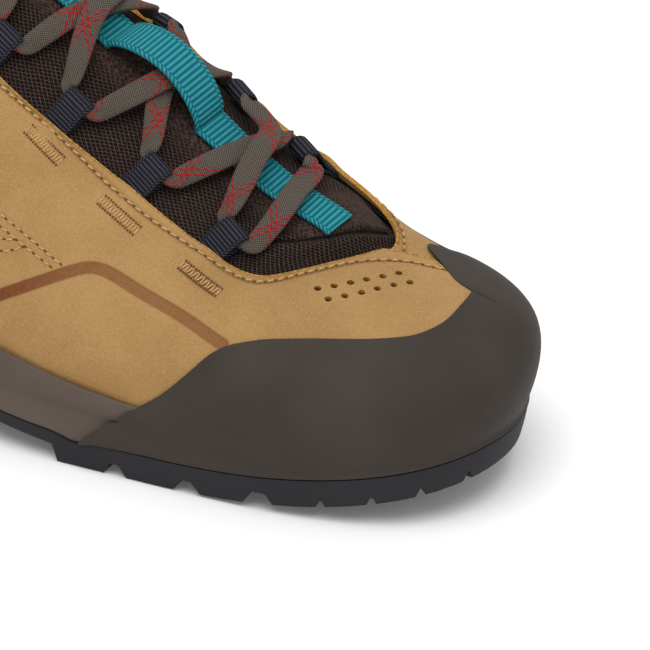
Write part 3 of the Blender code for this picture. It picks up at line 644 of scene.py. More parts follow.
MESH_ACROSS = 1.2  # from hole to hole
MESH_ALONG = 1.75  # two rows of holes


def open_mesh():
    """Brown knitted mesh with staggered holes, painted near-black as the shade inside them, closer knitted
    along the middle.
    """
    made = Finish("open_mesh", Sheen_Weight=0.03, Specular_IOR_Level=0.08)
    along, across = made.pattern()
    wobble = made.noise(6.0) - 0.5
    dense = made.mark("dense")
    holes = None
    for shift in (0.0, 0.5):
        x = ((across / MESH_ACROSS + wobble * 0.6 + shift) % 1.0 - 0.5) * MESH_ACROSS
        y = ((along / MESH_ALONG + wobble * 0.4 + shift) % 1.0 - 0.5) * MESH_ALONG
        gap = abs(x) * (2.0 / MESH_ACROSS) + abs(y) * (2.0 / MESH_ALONG)
        holes = gap if holes is None else holes.least(gap)
    hole = 1 - holes.step(0.66, 0.88)
    knit = made.noise(0.9, 3.0).step(0.4, 0.6)
    hole = hole * (1 - dense * (0.35 + knit * 0.5))
    fine = 1 - abs((across / 0.85) % 1.0 - 0.5).step(0.08, 0.3)
    ribs = made.mark("ribs")
    hole = hole * (1 - ribs) + ribs * fine
    fibre = made.noise(0.35, 2.0)
    yarn = made.mix(fibre.step(0.3, 0.7), srgb(54, 41, 36), srgb(108, 84, 75))
    yarn = made.mix(dense * (1 - knit) * 0.5, yarn, srgb(40, 30, 26))
    # Painted shade along the fold of the tongue's seam: there the mesh is painted as dark as its holes.
    hole = hole.most(1 - made.mark("fold").step(0.15, 0.6))
    # Painted shade: the holes, and the fold along the tongue's seam, are painted near-black.
    yarn = made.mix(hole * 0.95, yarn, srgb(11, 8, 7))
    return made.feed(yarn, 0.85 - fibre * 0.1, fibre * 0.15 - hole * 0.5, 1.0, 1.0)


def ribbed(name, deep, plain, lit, rib, selvedge):
    """Webbing: its ribs are in the piece's own shape; its yarn and woven edges are drawn here, with painted
    shade in the valleys between the ribs and a painted highlight on their crests.
    """
    made = Finish(name, Specular_IOR_Level=0.12)
    along, across = made.pattern()
    side = abs(across)
    border = side.step(selvedge - 0.1, selvedge + 0.1)
    ridge = abs(((along + border * side * 0.8) / rib) % 1.0 - 0.5) * 2.0
    yarn = abs((across / 0.62 + along / rib * 0.5) % 1.0 - 0.5) * 2.0
    uneven = made.noise(1.8, 2.0)
    # Painted shade and highlight: the rib valleys take the deep tone, and the rib crests the lit tone.
    colour = made.mix(ridge.step(0.0, 0.25), deep, plain)
    colour = made.mix(ridge.step(0.4, 0.85) * (yarn.step(0.1, 0.6) * 0.5 + uneven * 0.5), colour, lit)
    colour = made.mix(side.step(selvedge - 0.12, selvedge) * (1 - border) * 0.7, colour, deep)
    return made.feed(colour, 0.7 + yarn * 0.1, yarn * 0.15 + ridge * 0.35, 1.0, 0.7)


def braid(girth, turn):
    """Flat lace: a fine taupe weave with two red threads winding each way, which cross on its face."""
    made = Finish("lace_braid", Sheen_Weight=0.03, Specular_IOR_Level=0.1)
    along, round_way = made.pattern()
    pick = 0.72
    left = abs(((along + round_way) / pick) % 1.0 - 0.5) * 2.0
    right = abs(((along - round_way) / pick) % 1.0 - 0.5) * 2.0
    weave = left * right
    cloud = made.noise(2.5)
    colour = made.mix(weave.step(0.0, 0.4), srgb(52, 45, 40), srgb(140, 128, 116))
    colour = made.mix(cloud * 0.2, colour, srgb(84, 74, 66))
    red = None
    for way in (1.0, -1.0):
        for thread in (-0.06, 0.05):
            drift = made.noise(9.0) * 0.1
            turned = round_way / girth + along / turn * way + drift + (thread + 0.5)
            gap = abs(turned % 1.0 - 0.5) * girth
            red = gap if red is None else red.least(gap)
    line = 1 - red.step(0.16, 0.28)
    colour = made.mix(line * 0.92, colour, srgb(196, 16, 30))
    return made.feed(colour, 0.8 - weave * 0.1, weave * 0.5 + line * 0.3, 0.7, 1.0)


def cloth(name, dark, light, size):
    """A plain textile, such as the lining."""
    made = Finish(name, Sheen_Weight=0.2, Specular_IOR_Level=0.2)
    along, across = made.pattern()
    warp = abs((across / size) % 1.0 - 0.5) * 2.0
    weft = abs((along / size) % 1.0 - 0.5) * 2.0
    weave = warp * weft
    return made.feed(made.mix(weave.step(0.0, 0.6), dark, light), 0.9 - weave * 0.05, weave, 0.4, 0.7)


def thread(name, dark, light):
    """Sewing thread, or the painted shade of the needle hole that it goes into."""
    made = Finish(name, Sheen_Weight=0.1, Specular_IOR_Level=0.3)
    ply = made.noise(0.4, 2.0)
    return made.feed(made.mix(ply.step(0.3, 0.7), dark, light), None, ply, 0.3, 0.6)


LACE_GIRTH = 14.4  # once round the lace
LACE_TURN = 23.0  # the length in which a red thread winds once round it
TEAL_RIB = 1.37  # from rib to rib
NAVY_RIB = 0.98
TEAL_SELVEDGE = 4.3  # where the woven edge starts, from the middle
NAVY_SELVEDGE = 3.1
NUBUCK = nubuck()
RAW_EDGE = raw_edge()
RAND_RUBBER = moulded_rubber("rand_rubber", srgb(61, 55, 50), srgb(69, 62, 56), srgb(68, 60, 55), 0.5)
SOLE_RUBBER = moulded_rubber("sole_rubber", srgb(45, 43, 47), srgb(53, 51, 55), srgb(47, 45, 49), 0.6)
FOAM = moulded_rubber("foam", srgb(92, 80, 72), srgb(102, 90, 81), srgb(104, 92, 83), 0.5)
OPEN_MESH = open_mesh()
# Tones of each webbing: painted shade for the rib valleys, its plain colour, and a painted highlight for the
# rib crests.
TEAL_TONES = srgb(2, 80, 92), srgb(10, 124, 138), srgb(88, 182, 188)
NAVY_TONES = srgb(13, 13, 18), srgb(32, 32, 40), srgb(84, 84, 96)
TEAL = ribbed("teal_webbing", *TEAL_TONES, TEAL_RIB, TEAL_SELVEDGE)
NAVY = ribbed("navy_webbing", *NAVY_TONES, NAVY_RIB, NAVY_SELVEDGE)
BRAID = braid(LACE_GIRTH, LACE_TURN)
LINING = cloth("lining", srgb(40, 34, 31), srgb(74, 64, 58), 0.9)
THREAD = thread("tan_thread", srgb(186, 138, 74), srgb(222, 182, 122))
# The needle holes are dark beads: painted shade where the thread goes into the leather.
HOLE_SHADE = thread("stitch_hole_shade", srgb(82, 46, 14), srgb(112, 68, 28))

# Seam between the panels at the toe end of the throat, as v and u, and the debossed band, as u and v.
SEAM = [
    (0.000, 0.5168), (0.790, 0.5168), (0.812, 0.5175), (0.863, 0.5234), (0.888, 0.5234), (0.927, 0.5208),
    (0.963, 0.5180), (0.985, 0.5154), (1.000, 0.5130),
]
BAND = [
    (0.2560, 0.100), (0.2800, 0.212), (0.3008, 0.333), (0.3148, 0.415), (0.3290, 0.500), (0.3378, 0.552),
    (0.3450, 0.588), (0.3508, 0.603), (0.3578, 0.603), (0.3680, 0.593), (0.3780, 0.590), (0.3880, 0.585),
    (0.3974, 0.565), (0.4040, 0.545),
]
BAND_DEEP = 0.35
COLLAR_CUT = 0.085  # how far below the collar's edge the leather stops
LEATHER = 1.2
SEAM_LIFT = 0.45  # how far the outer panel stands up at the toe seam
SEAM_SINK = 0.8  # how far the inner panel goes down under it
SEAM_LAP = 0.012  # how much of u they share
SEAM_TROUGH = (0.4, 0.8)  # depth and width of the leather's dip along a row of stitches
LOOP_SWELL = (0.8, 3.6)  # height and width of the swelling over a loop
BAND_SEEN = 30.0  # past this distance the band isn't looked for


def seam_u(v):
    """Where the seam between the panels lies."""
    return np.interp(v, *np.array(SEAM).T)


def leather_top(u):
    """The v of the leather's top edge: lower round the collar, where the lining is seen."""
    return 1.0 - COLLAR_CUT * ease(0, 1, in_collar(u))


CREASES = [  # from, to, depth, width
    ((0.4080, 0.930), (0.3900, 0.700), 0.35, 5.0),
    ((0.4420, 0.840), (0.4280, 0.690), -0.25, 6.0),
    ((0.5060, 0.860), (0.4960, 0.700), 0.40, 4.0),
]


def relief(spots, band, seams):
    """Soft troughs and ridges: the band, creases, sunk seams, and a swelling over each lace loop."""
    high = -BAND_DEEP * (1 - ease(0.9, 1.8, band))
    deep, wide = SEAM_TROUGH
    for seam in seams:
        track, _ = on_skin(seam, 80)
        gap = nearest(spots, skin(track[:, 0], track[:, 1]))
        high = high - deep * np.exp(-((gap / wide) ** 2))
    swell, wide = LOOP_SWELL
    for rows in LOOPS:
        for side, row in enumerate(rows):
            top = skin(TONGUE_SIDES(row)[side], 1.0)
            gap = np.linalg.norm(spots - top, axis=-1)
            high = high + swell * np.exp(-((gap / wide) ** 2))
    for start, end, deep, wide in CREASES:
        track, _ = on_skin([start, end], 12)
        gap = nearest(spots, skin(track[:, 0], track[:, 1]))
        high = high - deep * np.exp(-((gap / wide) ** 2))
    return high


def climbing(across):
    """Shares of the height of a leather panel, closer together near its top edge."""
    return mesh_of(across, np.concatenate([np.linspace(0, 0.88, 62), np.linspace(0.885, 1, 30)]))


def leather_panel(name, u, v, lift, band_track, seams, seam_shows=False):
    """A panel of the upper with its relief, and marks for the band and for its raw edges."""
    flat = skin(u, v)
    band, _ = on_skin(band_track, 50)
    gap = np.minimum(nearest(flat, skin(band[:, 0], band[:, 1])), BAND_SEEN)
    places = shell(u, v, relief(flat, gap, seams) + lift)
    charts = np.stack([lengths(flat, 0), lengths(flat, 1)], -1)
    edge = charts[:, -1:, 1] - charts[..., 1]
    if seam_shows:
        edge = np.where(v > 0.78, np.minimum(edge, charts[-1:, :, 0] - charts[..., 0]), edge)
    panel = surface(name, places, charts, {"band": gap, "edge": edge})
    modifier(
        panel,
        "SOLIDIFY",
        thickness=LEATHER * MM,
        offset=-1.0,
        material_offset_rim=1,
        use_even_offset=True,
    )
    return panel


def make_leather():
    """The outer panel with the toe, and the inner panel that starts under it at the toe seam."""
    across, up = climbing(np.concatenate([np.linspace(0, 0.95, 300), np.linspace(0.952, 1, 40)]))
    v = up * leather_top(across * 0.52)
    u = across * seam_u(v)
    lift = SEAM_LIFT * ease(0.485, 0.515, u) * ease(0.6, 0.8, v)
    outer = leather_panel("leather_outer_panel", u, v, lift, BAND, [THROAT_STITCH], True)
    punch(outer)
    hand_over(outer, [NUBUCK, RAW_EDGE], "leather", "upper")
    across, up = climbing(np.linspace(0, 1, 301))
    v = up * leather_top(0.5 + across * 0.5)
    start = seam_u(v) - SEAM_LAP
    u = start + across * (1 - start)
    lift = -SEAM_SINK * (1 - ease(0.525, 0.555, u)) * ease(0.6, 0.8, v)
    inner = leather_panel("leather_inner_panel", u, v, lift, mirrored(BAND), [INNER_STITCH])
    rounded(inner, 0.25)
    hand_over(inner, [NUBUCK, RAW_EDGE], "leather", "upper")


PUNCHED = [
    (0.4622, 0.890), (0.4684, 0.885), (0.4746, 0.883), (0.4808, 0.881), (0.4874, 0.878), (0.4948, 0.875),
    (0.4620, 0.830), (0.4678, 0.828), (0.4736, 0.826), (0.4796, 0.828), (0.4860, 0.827), (0.4924, 0.820),
]
PUNCH_RADIUS = 0.9
PUNCH_LONG = 6.0


def facing(place, ahead, normal):
    """A turn and shift that puts x along ahead and z along normal at a place."""
    side = np.cross(normal, ahead)
    turn = Matrix([[*row] for row in np.stack([ahead, side, normal], -1)]).to_4x4()
    return Matrix.Translation(Vector((place - MIDDLE) * MM)) @ turn


def punch(panel):
    """Cuts the vent holes through the leather."""
    form = bmesh.new()
    for u, v in PUNCHED:
        normal = skin_normal(u, v)
        ahead = unit(np.cross(normal, UP))
        bmesh.ops.create_cone(
            form,
            cap_ends=True,
            segments=16,
            radius1=PUNCH_RADIUS * MM,
            radius2=PUNCH_RADIUS * MM,
            depth=PUNCH_LONG * MM,
            matrix=facing(skin(u, v), ahead, normal),
        )
    cutter = as_piece("punch", form)
    modifier(panel, "BOOLEAN", operation="DIFFERENCE", object=cutter)
    rounded(panel, 0.2)
    settle(panel)
    bpy.data.objects.remove(cutter)


THROAT_CUT = 0.07  # how much lower the lining ends along the throat
LINING_UNDER = 1.55  # how far below the leather's face it lies
COLLAR_PUFF = 1.7  # how far it swells out again over the leather's edge
LIP_RISE = (0.3, 2.4)  # how far it rises past its edge, and how much more at the collar


def make_lining():
    """The lining with its padded collar, which stands above the leather."""
    around = np.linspace(0, 1, 241)
    outer_v = np.concatenate([np.linspace(0, 0.8, 12), np.linspace(0.83, 0.985, 12)])
    inner_v = np.concatenate([np.linspace(0.985, 0.6, 16), np.linspace(0.55, 0, 8)])
    u, v = mesh_of(around, outer_v)
    v = v * (1 - THROAT_CUT * (1 - in_collar(u)))
    puff = ease(0.905, 0.935, v) * in_collar(u)
    outer = shell(u, v, -LINING_UNDER + COLLAR_PUFF * puff)
    u, v = mesh_of(around, inner_v)
    v = v * (1 - THROAT_CUT * (1 - in_collar(u)))
    inner = shell(u, v, -wall(u, v) - 0.05)
    turn = np.linspace(0, np.pi, 9)[1:-1]
    u, angle = mesh_of(around, turn)
    outside, inside = outer[:, -1:], inner[:, :1]
    middle = (outside + inside) / 2
    out_way = (outside - inside) / 2
    high, more = LIP_RISE
    rise = unit(skin(u, 1.0) - skin(u, 0.97)) * (high + more * in_collar(u))[..., None]
    lip = middle + out_way * np.cos(angle)[..., None] + rise * np.sin(angle)[..., None]
    ring = np.concatenate([outer, lip, inner, outer[:, :1]], 1)
    charts = np.stack([np.repeat(lengths(outer, 0)[:, :1], ring.shape[1], 1), lengths(ring, 1)], -1)
    lining = surface("lining", ring, charts, weld=True)
    hand_over(lining, [LINING], "lining", "upper")


RAND_EDGE = [  # the upper edge up to the leather's point
    (0.3330, -0.90),
    (0.3410, -0.42),
    (0.3478, 0.00),
    (0.3572, 0.095),
    (0.3685, 0.186),
    (0.3798, 0.292),
    (0.3890, 0.384),
    (0.3978, 0.474),
    (0.4086, 0.562),
    (0.4186, 0.619),
    (0.4288, 0.655),
    (0.4454, 0.656),
    (0.4584, 0.618),
    (0.4676, 0.588),
    (0.4740, 0.576),
    (0.4804, 0.584),
    (0.4868, 0.604),
    (0.4962, 0.645),
    (0.5090, 0.680),
]
RAND_EDGE_INNER = [  # and from there round the toe to the inner side
    (0.5090, 0.680),
    (0.5096, 0.733),
    (0.5122, 0.775),
    (0.5186, 0.818),
    (0.5250, 0.850),
    (0.5300, 0.870),
    (0.5400, 0.884),
    (0.5465, 0.805),
    (0.5530, 0.685),
    (0.5720, 0.590),
    (0.6000, 0.530),
    (0.6300, 0.465),
    (0.6560, 0.380),
    (0.6850, 0.220),
    (0.7000, 0.095),
    (0.7080, 0.00),
    (0.7150, -0.42),
    (0.7260, -0.90),
]
RAND_SCALE = np.array([560.0, 75.0])  # millimetres for one u and one v, about
FOAM_U, FOAM_RIM, FOAM_OUT = np.array([  # u, how high its rim climbs in v, how far its wall stands out
    (0.000, 0.130, 1.8),
    (0.200, 0.140, 1.8),
    (0.300, 0.140, 1.8),
    (0.330, 0.097, 1.5),
    (0.345, 0.088, 1.1),
    (0.375, 0.088, 0.0),
    (0.680, 0.088, 0.0),
    (0.712, 0.088, 1.1),
    (0.730, 0.110, 1.5),
    (0.760, 0.140, 1.8),
    (1.000, 0.130, 1.8),
]).T
RAND_GAP = 0.6
RAND_THICK = 1.2
RAND_SWELLS = [(0.35, 0.30, 0.16), (0.25, -0.75, 0.2)]  # height, and middle and width in v
RAND_CORNER = [(0.5090, 0.680), (0.5130, 0.480)]  # the ridge below the leather's point
RAND_RIDGE = (0.35, 3.0)  # its height and width


def smooth_line(points, scale, spacing):
    """Evenly spaced places on a smooth curve through the points."""
    points = np.array(points)
    steps = np.linalg.norm(np.diff(points, axis=0) * scale, axis=1)
    run = np.append(0, np.cumsum(np.sqrt(steps)))
    fine = spline(run, points)(np.linspace(0, run[-1], 600))
    run = np.append(0, np.cumsum(np.linalg.norm(np.diff(fine, axis=0) * scale, axis=1)))
    even = np.linspace(0, run[-1], int(run[-1] / spacing) + 1)
    return np.stack([np.interp(even, run, fine[:, k]) for k in range(points.shape[1])], -1)


def foam_out(u):
    """How far the foam's wall stands out."""
    return np.interp(u, FOAM_U, FOAM_OUT)


def make_rand():
    """The moulded toe rand, with the slight swell of its form."""
    line = np.concatenate([
        smooth_line(RAND_EDGE, RAND_SCALE, 1.0),
        smooth_line(RAND_EDGE_INNER, RAND_SCALE, 1.0)[1:],
    ])
    share = np.concatenate([np.linspace(0, 0.96, 60), [0.975, 0.988, 1.0]])
    u, share = mesh_of(line[:, 0], share)
    v = -1 + (line[:, 1:2] + 1) * share
    low = np.clip(1 - (v - 0.06) / 0.06, 0, 1)
    flush = ease(0.8, 1.0, share) * (1 - low)
    inner = RAND_GAP * (1 - 0.75 * flush) + foam_out(u) * low
    thick = np.maximum(0.6, RAND_THICK - foam_out(u) * low)
    swell = sum(high * np.exp(-(((v - middle) / wide) ** 2)) for high, middle, wide in RAND_SWELLS)
    thin = 1 - 0.65 * ease(0.92, 1.0, share)
    corner = nearest(skin(u, np.clip(v, 0, 1)), skin(*np.array(RAND_CORNER).T))
    high, wide = RAND_RIDGE
    ridge = high * np.exp(-((corner / wide) ** 2))
    outer = shell(u, v, inner + thick * thin + (swell + ridge) * ease(1.0, 0.8, share))
    rand = closed_sheet("toe_rand_rubber", outer, shell(u, v, inner))
    rounded(rand, 0.2)
    hand_over(rand, [RAND_RUBBER], "rubber_rand", "toe_rand")


COUNTER = [  # its upper edge
    (-0.125, 0.19),
    (-0.090, 0.34),
    (-0.045, 0.52),
    (0.000, 0.58),
    (0.045, 0.52),
    (0.090, 0.34),
    (0.125, 0.19),
]
COUNTER_FOOT = 0.165
COUNTER_THICK = 1.2
COUNTER_THINS = 0.5  # how much thinner its upper edge is
COUNTER_SWELL = 0.35


def make_counter():
    """The rubber panel round the heel, swelling a little at half its height."""
    line = smooth_line(COUNTER, RAND_SCALE, 1.6)
    u, share = mesh_of(line[:, 0], np.linspace(0, 1, 30))
    v = COUNTER_FOOT + (line[:, 1:2] - COUNTER_FOOT) * share
    swell = COUNTER_SWELL * np.exp(-(((share - 0.5) / 0.25) ** 2))
    thick = COUNTER_THICK - COUNTER_THINS * ease(0.93, 1.0, share) + swell
    counter = closed_sheet("heel_counter_rubber", shell(u, v, GAP + thick), shell(u, v, GAP))
    rounded(counter, 0.25)
    hand_over(counter, [RAND_RUBBER], "rubber_rand", "heel_counter")


def ladder_rails(stops, rungs):
    """Places with equal x on the outer and inner half of the feather line, heel to toe, as two lists of u."""
    fine = np.linspace(0, 1, 4001)
    length = FOOT(fine)[:, 0]
    toe = fine[int(np.argmax(length))]
    heel = fine[int(np.argmin(np.where(np.abs(fine - 0.5) > 0.4, length, np.inf)))]
    heel = heel - 1 if heel > 0.5 else heel
    low, high = FOOT(heel)[0], FOOT(toe)[0]
    wave = (1 - np.cos(np.linspace(0, np.pi, rungs))) / 2
    places = np.sort(np.concatenate([low + (high - low) * wave, stops]))
    outer = np.linspace(heel, toe, 3001)
    inner = np.linspace(heel + 1, toe, 3001)
    rails = [np.interp(places, FOOT(side)[:, 0], side) for side in (outer, inner)]
    rails[0][[0, -1]] = heel, toe
    rails[1][[0, -1]] = heel + 1, toe
    return rails


def ladder_piece(name, stops, rungs, rings, across):
    """A closed form between two rails: rings(u) gives the wall from its lower to its upper edge."""
    sides = [rings(u) for u in ladder_rails(stops, rungs)]
    share = np.linspace(0, 1, across + 1)[1:-1][None, :, None]

    def span(first, second):
        return first[:, None] * (1 - share) + second[:, None] * share

    top = span(sides[0][:, -1], sides[1][:, -1])
    low = span(sides[1][:, 0], sides[0][:, 0])
    ring = np.concatenate([sides[0], top, sides[1][:, ::-1], low, sides[0][:, :1]], 1)
    charts = np.stack([np.repeat(ring[:, :1, 0], ring.shape[1], 1), lengths(ring, 1)], -1)
    return surface(name, ring, charts, weld=True)


NOTCHES = [  # u, width at the floor, width at the roof, depth, length
    (0.3468, 6.0, 2.4, 3.2, 16.0),
    (0.3770, 7.2, 2.6, 3.2, 16.0),
    (0.4070, 7.6, 3.6, 3.2, 16.0),
    (0.4290, 2.0, 0.8, 1.5, 8.0),
    (0.4450, 2.0, 0.8, 1.5, 8.0),
    (0.4610, 2.0, 0.8, 1.5, 8.0),
    (0.4790, 2.0, 0.8, 1.5, 8.0),
    (0.5600, 2.0, 0.8, 1.5, 8.0),
    (0.5900, 7.4, 3.4, 3.2, 16.0),
    (0.6200, 7.2, 2.6, 3.2, 16.0),
    (0.6500, 6.6, 2.6, 3.2, 16.0),
    (0.6780, 6.0, 2.4, 3.2, 16.0),
    (0.0360, 6.4, 2.6, 3.2, 13.0),
    (0.0700, 6.4, 2.6, 3.2, 13.0),
    (0.1060, 6.4, 2.6, 3.2, 13.0),
    (0.8930, 6.4, 2.6, 3.2, 13.0),
    (0.9300, 6.4, 2.6, 3.2, 13.0),
    (0.9640, 6.4, 2.6, 3.2, 13.0),
]
FIELDS = [(203.0, 256.0), (24.0, 70.0)]  # the recessed middle of the tread, forefoot and heel
FIELD_INSET = 13.0
FIELD_DEEP = 2.8
STUD_RADIUS = 4.2
STUD_TAPER = 0.9
STUD_LONG = 24.0
STUD_PITCH = 14.5
STUD_TURN = 0.26  # radians, in every second row
CUT_BELOW = 4.0  # how far a cutter reaches below the floor
CUT_PAST = 3.0  # and out past the sole's edge


def sole_rings(u):
    """The outsole's wall from the floor up, bulging a little."""
    foot_x = FOOT(u)[:, 0]
    rows = []
    for share in np.linspace(0, 1, 7):
        out = TREAD_OUT + (SOLE_OUT - TREAD_OUT) * share + 0.5 * share * (1 - share)
        spot = FOOT(u) + outward(u) * out
        spot[:, 2] = tread(foot_x) * (1 - share) + sole_top(foot_x) * share
        rows.append(spot)
    return np.stack(rows, 1)


def make_outsole():
    """The outsole, with notches along its edge and a recessed field of studs at heel and forefoot."""
    rear, front = ARCH_STEPS
    stops = (rear, rear + STEP_RUN, front - STEP_RUN, front)
    sole = ladder_piece("outsole_rubber", stops, 170, sole_rings, 10)
    cutters = [notch_cutters()] + [field_cutter(*ends) for ends in FIELDS]
    for cutter in cutters:
        modifier(sole, "BOOLEAN", operation="DIFFERENCE", object=cutter)
    rounded(sole, 0.25)
    settle(sole)
    for cutter in cutters:
        bpy.data.objects.remove(cutter)
    hand_over(sole, [SOLE_RUBBER], "rubber_sole", "outsole")


def notch_cutters():
    """Wedges across the edge of the tread, narrower at their roof."""
    form = bmesh.new()
    for u, wide, narrow, deep, long in NOTCHES:
        way = outward(u)
        edge = FOOT(u) + way * (TREAD_OUT + CUT_PAST)
        floor = float(toe_spring(edge[0]) + heel_spring(edge[0]))
        middle = np.array([*(edge - way * (long + CUT_PAST) / 2)[:2], floor + (deep - CUT_BELOW) / 2])
        made = bmesh.ops.create_cube(form, size=1.0)["verts"]
        for vert in made:
            half = (narrow if vert.co.z > 0 else wide + (wide - narrow) * CUT_BELOW / deep) / 2
            size = (long + CUT_PAST, 2 * half, deep + CUT_BELOW)
            vert.co = Vector([vert.co[k] * size[k] * MM for k in range(3)])
        bmesh.ops.transform(form, matrix=facing(middle, -way, UP), verts=made)
    return as_piece("notches", form)


def field_cutter(start, end):
    """The recess in the middle of the tread, less the studs that stand in it."""
    outer, inner = ladder_rails((), 400)
    stations = np.linspace(start, end, 13)
    rails = []
    for side in (outer, inner):
        spots = FOOT(side) - outward(side) * FIELD_INSET
        order = np.argsort(FOOT(side)[:, 0])
        rails.append([np.interp(stations, FOOT(side)[order, 0], spots[order, k]) for k in range(3)])
    rails = np.array(rails).transpose(2, 0, 1)
    share = np.linspace(0, 1, 5)[None, :, None]
    roof = rails[:, :1] * (1 - share) + rails[:, 1:] * share
    floor = roof.copy()
    roof[..., 2] = (toe_spring(stations) + FIELD_DEEP)[:, None]
    floor[..., 2] = -CUT_BELOW
    field = closed_sheet("field", roof, floor)
    form = bmesh.new()
    for row, x in enumerate(np.arange(start + STUD_PITCH / 2, end - STUD_RADIUS, STUD_PITCH)):
        right, left = rails[np.argmin(np.abs(stations - x)), :, 1]
        count = int((left - right - 2 * STUD_RADIUS - CUT_PAST) // STUD_PITCH)
        first = (left + right) / 2 - STUD_PITCH * count / 2
        for k in range(count + 1):
            spot = (np.array([x, first + k * STUD_PITCH, 0]) - MIDDLE) * MM
            bmesh.ops.create_cone(
                form,
                cap_ends=True,
                segments=6,
                radius1=STUD_RADIUS * STUD_TAPER * MM,
                radius2=STUD_RADIUS * MM,
                depth=STUD_LONG * MM,
                matrix=Matrix.Translation(Vector(spot)) @ Matrix.Rotation(STUD_TURN * (row % 2), 4, "Z"),
            )
    studs = as_piece("studs", form)
    modifier(field, "BOOLEAN", operation="DIFFERENCE", object=studs)
    settle(field)
    bpy.data.objects.remove(studs)
    return field


FOAM_ENDS = (0.3530, 0.7046)
LIP_GAP = 0.6  # between the leather and the lip on it
LIP_THICK = 1.1
FLOOR_GAP = 0.5  # between the foam and the leather's feather line
FOAM_HOLLOW = 1.0  # how far its wall is drawn in
TUCK = 0.0022  # how far the foam's ends go under the rand, as a share of the way round


def foam_place(turned, v):
    """Draws the foam's ends along the slanting edge of the rand."""
    tail = np.array(RAND_EDGE[:4]).T
    inner_tail = np.array(RAND_EDGE_INNER[:-5:-1]).T
    outer_end = np.interp(v, tail[1], tail[0]) + TUCK - FOAM_ENDS[0]
    inner_end = np.interp(v, inner_tail[1], inner_tail[0]) - TUCK - FOAM_ENDS[1]
    return turned + outer_end * ease(0.31, FOAM_ENDS[0], turned) * (turned < 0.5) + (
        inner_end * ease(0.75, FOAM_ENDS[1], turned) * (turned > 0.5)
    )


def foam_rings(u):
    """The foam's wall up to its lip on the leather, and what is hidden under the rand."""
    turned = np.mod(u, 1.0)
    out = foam_out(turned)
    near_rand = np.minimum(ease(0.33, FOAM_ENDS[0], turned), ease(0.73, FOAM_ENDS[1], turned))
    lip_thick = LIP_THICK * (1 - 0.75 * near_rand)
    bare = ((turned < FOAM_ENDS[0] - 1e-4) | (turned > FOAM_ENDS[1] + 1e-4))[:, None]
    rim = np.interp(turned, FOAM_U, FOAM_RIM)
    rows = []
    hidden = shell(turned, 0.0, out) - UP * FLOOR_GAP
    for share in np.linspace(0, 1, 17):
        hollow = FOAM_HOLLOW * (out / 1.8) * 4 * share**1.3 * (1 - share**1.3)
        lip = ease(0.8, 1.0, share)
        offset = out - hollow
        high = -1 + (1 + rim) * share
        row = shell(foam_place(turned, high), high, offset * (1 - lip) + (LIP_GAP + lip_thick) * lip)
        sunk = shell(turned, -1 + share * 0.99, out - 0.3 * share) - UP * FLOOR_GAP * share
        rows.append(np.where(bare, row, sunk))
    ended = foam_place(turned, rim)
    brow = shell(ended, rim + 0.008, LIP_GAP + lip_thick * 0.5)
    rows.append(np.where(bare, brow, hidden - outward(turned) * 0.5))
    rows.append(np.where(bare, shell(ended, rim, LIP_GAP), hidden - outward(turned) * 0.7))
    rows.append(np.where(bare, shell(turned, 0.0, LIP_GAP), hidden - outward(turned) * 0.9))
    rows[-1][:, 2] = FOOT(turned)[:, 2] - FLOOR_GAP
    return np.stack(rows, 1)


def make_midsole():
    """The foam wedge between the outsole and the upper."""
    near, far = (FOOT(u)[0] for u in FOAM_ENDS)
    foam = ladder_piece("midsole_foam", (near - 0.4, near, far - 0.4, far), 170, foam_rings, 6)
    hand_over(foam, [FOAM], "foam", "midsole")


INSOLE_EDGE = [(3.0, 0.2), (2.7, 3.2), (3.3, 4.0)]  # how far in from the feather line, and how high


def make_insole():
    """The loose footbed."""

    def rings(u):
        spot = FOOT(u)
        rows = []
        for inset, high in INSOLE_EDGE:
            row = spot - outward(u) * inset
            row[:, 2] = spot[:, 2] + high
            rows.append(row)
        return np.stack(rows, 1)

    insole = ladder_piece("insole_footbed", (), 90, rings, 8)
    hand_over(insole, [LINING], "lining", "insole")


TONGUE_SEAM = [  # row and q
    (3.76, -0.53),
    (3.28, -0.42),
    (2.86, -0.26),
    (2.58, 0.00),
    (2.40, 0.16),
    (2.14, 0.34),
    (1.80, 0.63),
]


def make_tongue():
    """The padded tongue, with a folded seam near the toe and closer knitting along its middle."""
    rows, q = mesh_of(np.linspace(0, len(TONGUE) - 1, 240), np.linspace(-1, 1, 101))
    flat = tongue(rows, q)
    seam = np.array(TONGUE_SEAM)
    fine = spline(np.arange(len(seam)), seam)(np.linspace(0, len(seam) - 1, 30))
    gap = nearest(flat, tongue(fine[:, 0], fine[:, 1]))
    fold = 0.9 * np.exp(-((gap / 2.4) ** 2)) - 1.3 * np.exp(-((gap / 0.8) ** 2))
    pad = 0.6 * np.cos(np.pi * np.clip(q / EDGE_Q, -1, 1) / 2) ** 2
    wave = 0.25 * np.sin(rows * 4.1 + q * 3.0) * np.sin(q * 9.0 + rows)
    inside = ease(1.0, 0.7, np.abs(q))
    outer = tongue(rows, q, (fold + wave) * inside + pad * 0.3)
    thick = TONGUE_THICK * (1 - 0.45 * np.abs(q) ** 4)
    dense = ease(0.34, 0.16, np.abs(q + 0.02)) * ease(2.4, 3.0, rows)
    ribs = ease(0.24, 0.30, q) * ease(4.0, 3.7, rows) * ease(1.9, 2.1, rows + (q - 0.3) * 0.6)
    # The fold mark is the distance from the seam; the mesh's material paints shade along the fold with it.
    marks = {"dense": dense, "ribs": ribs, "fold": gap}
    piece = closed_sheet("tongue_mesh", outer, tongue(rows, q, -thick), marks)
    hand_over(piece, [OPEN_MESH], "mesh", "tongue")


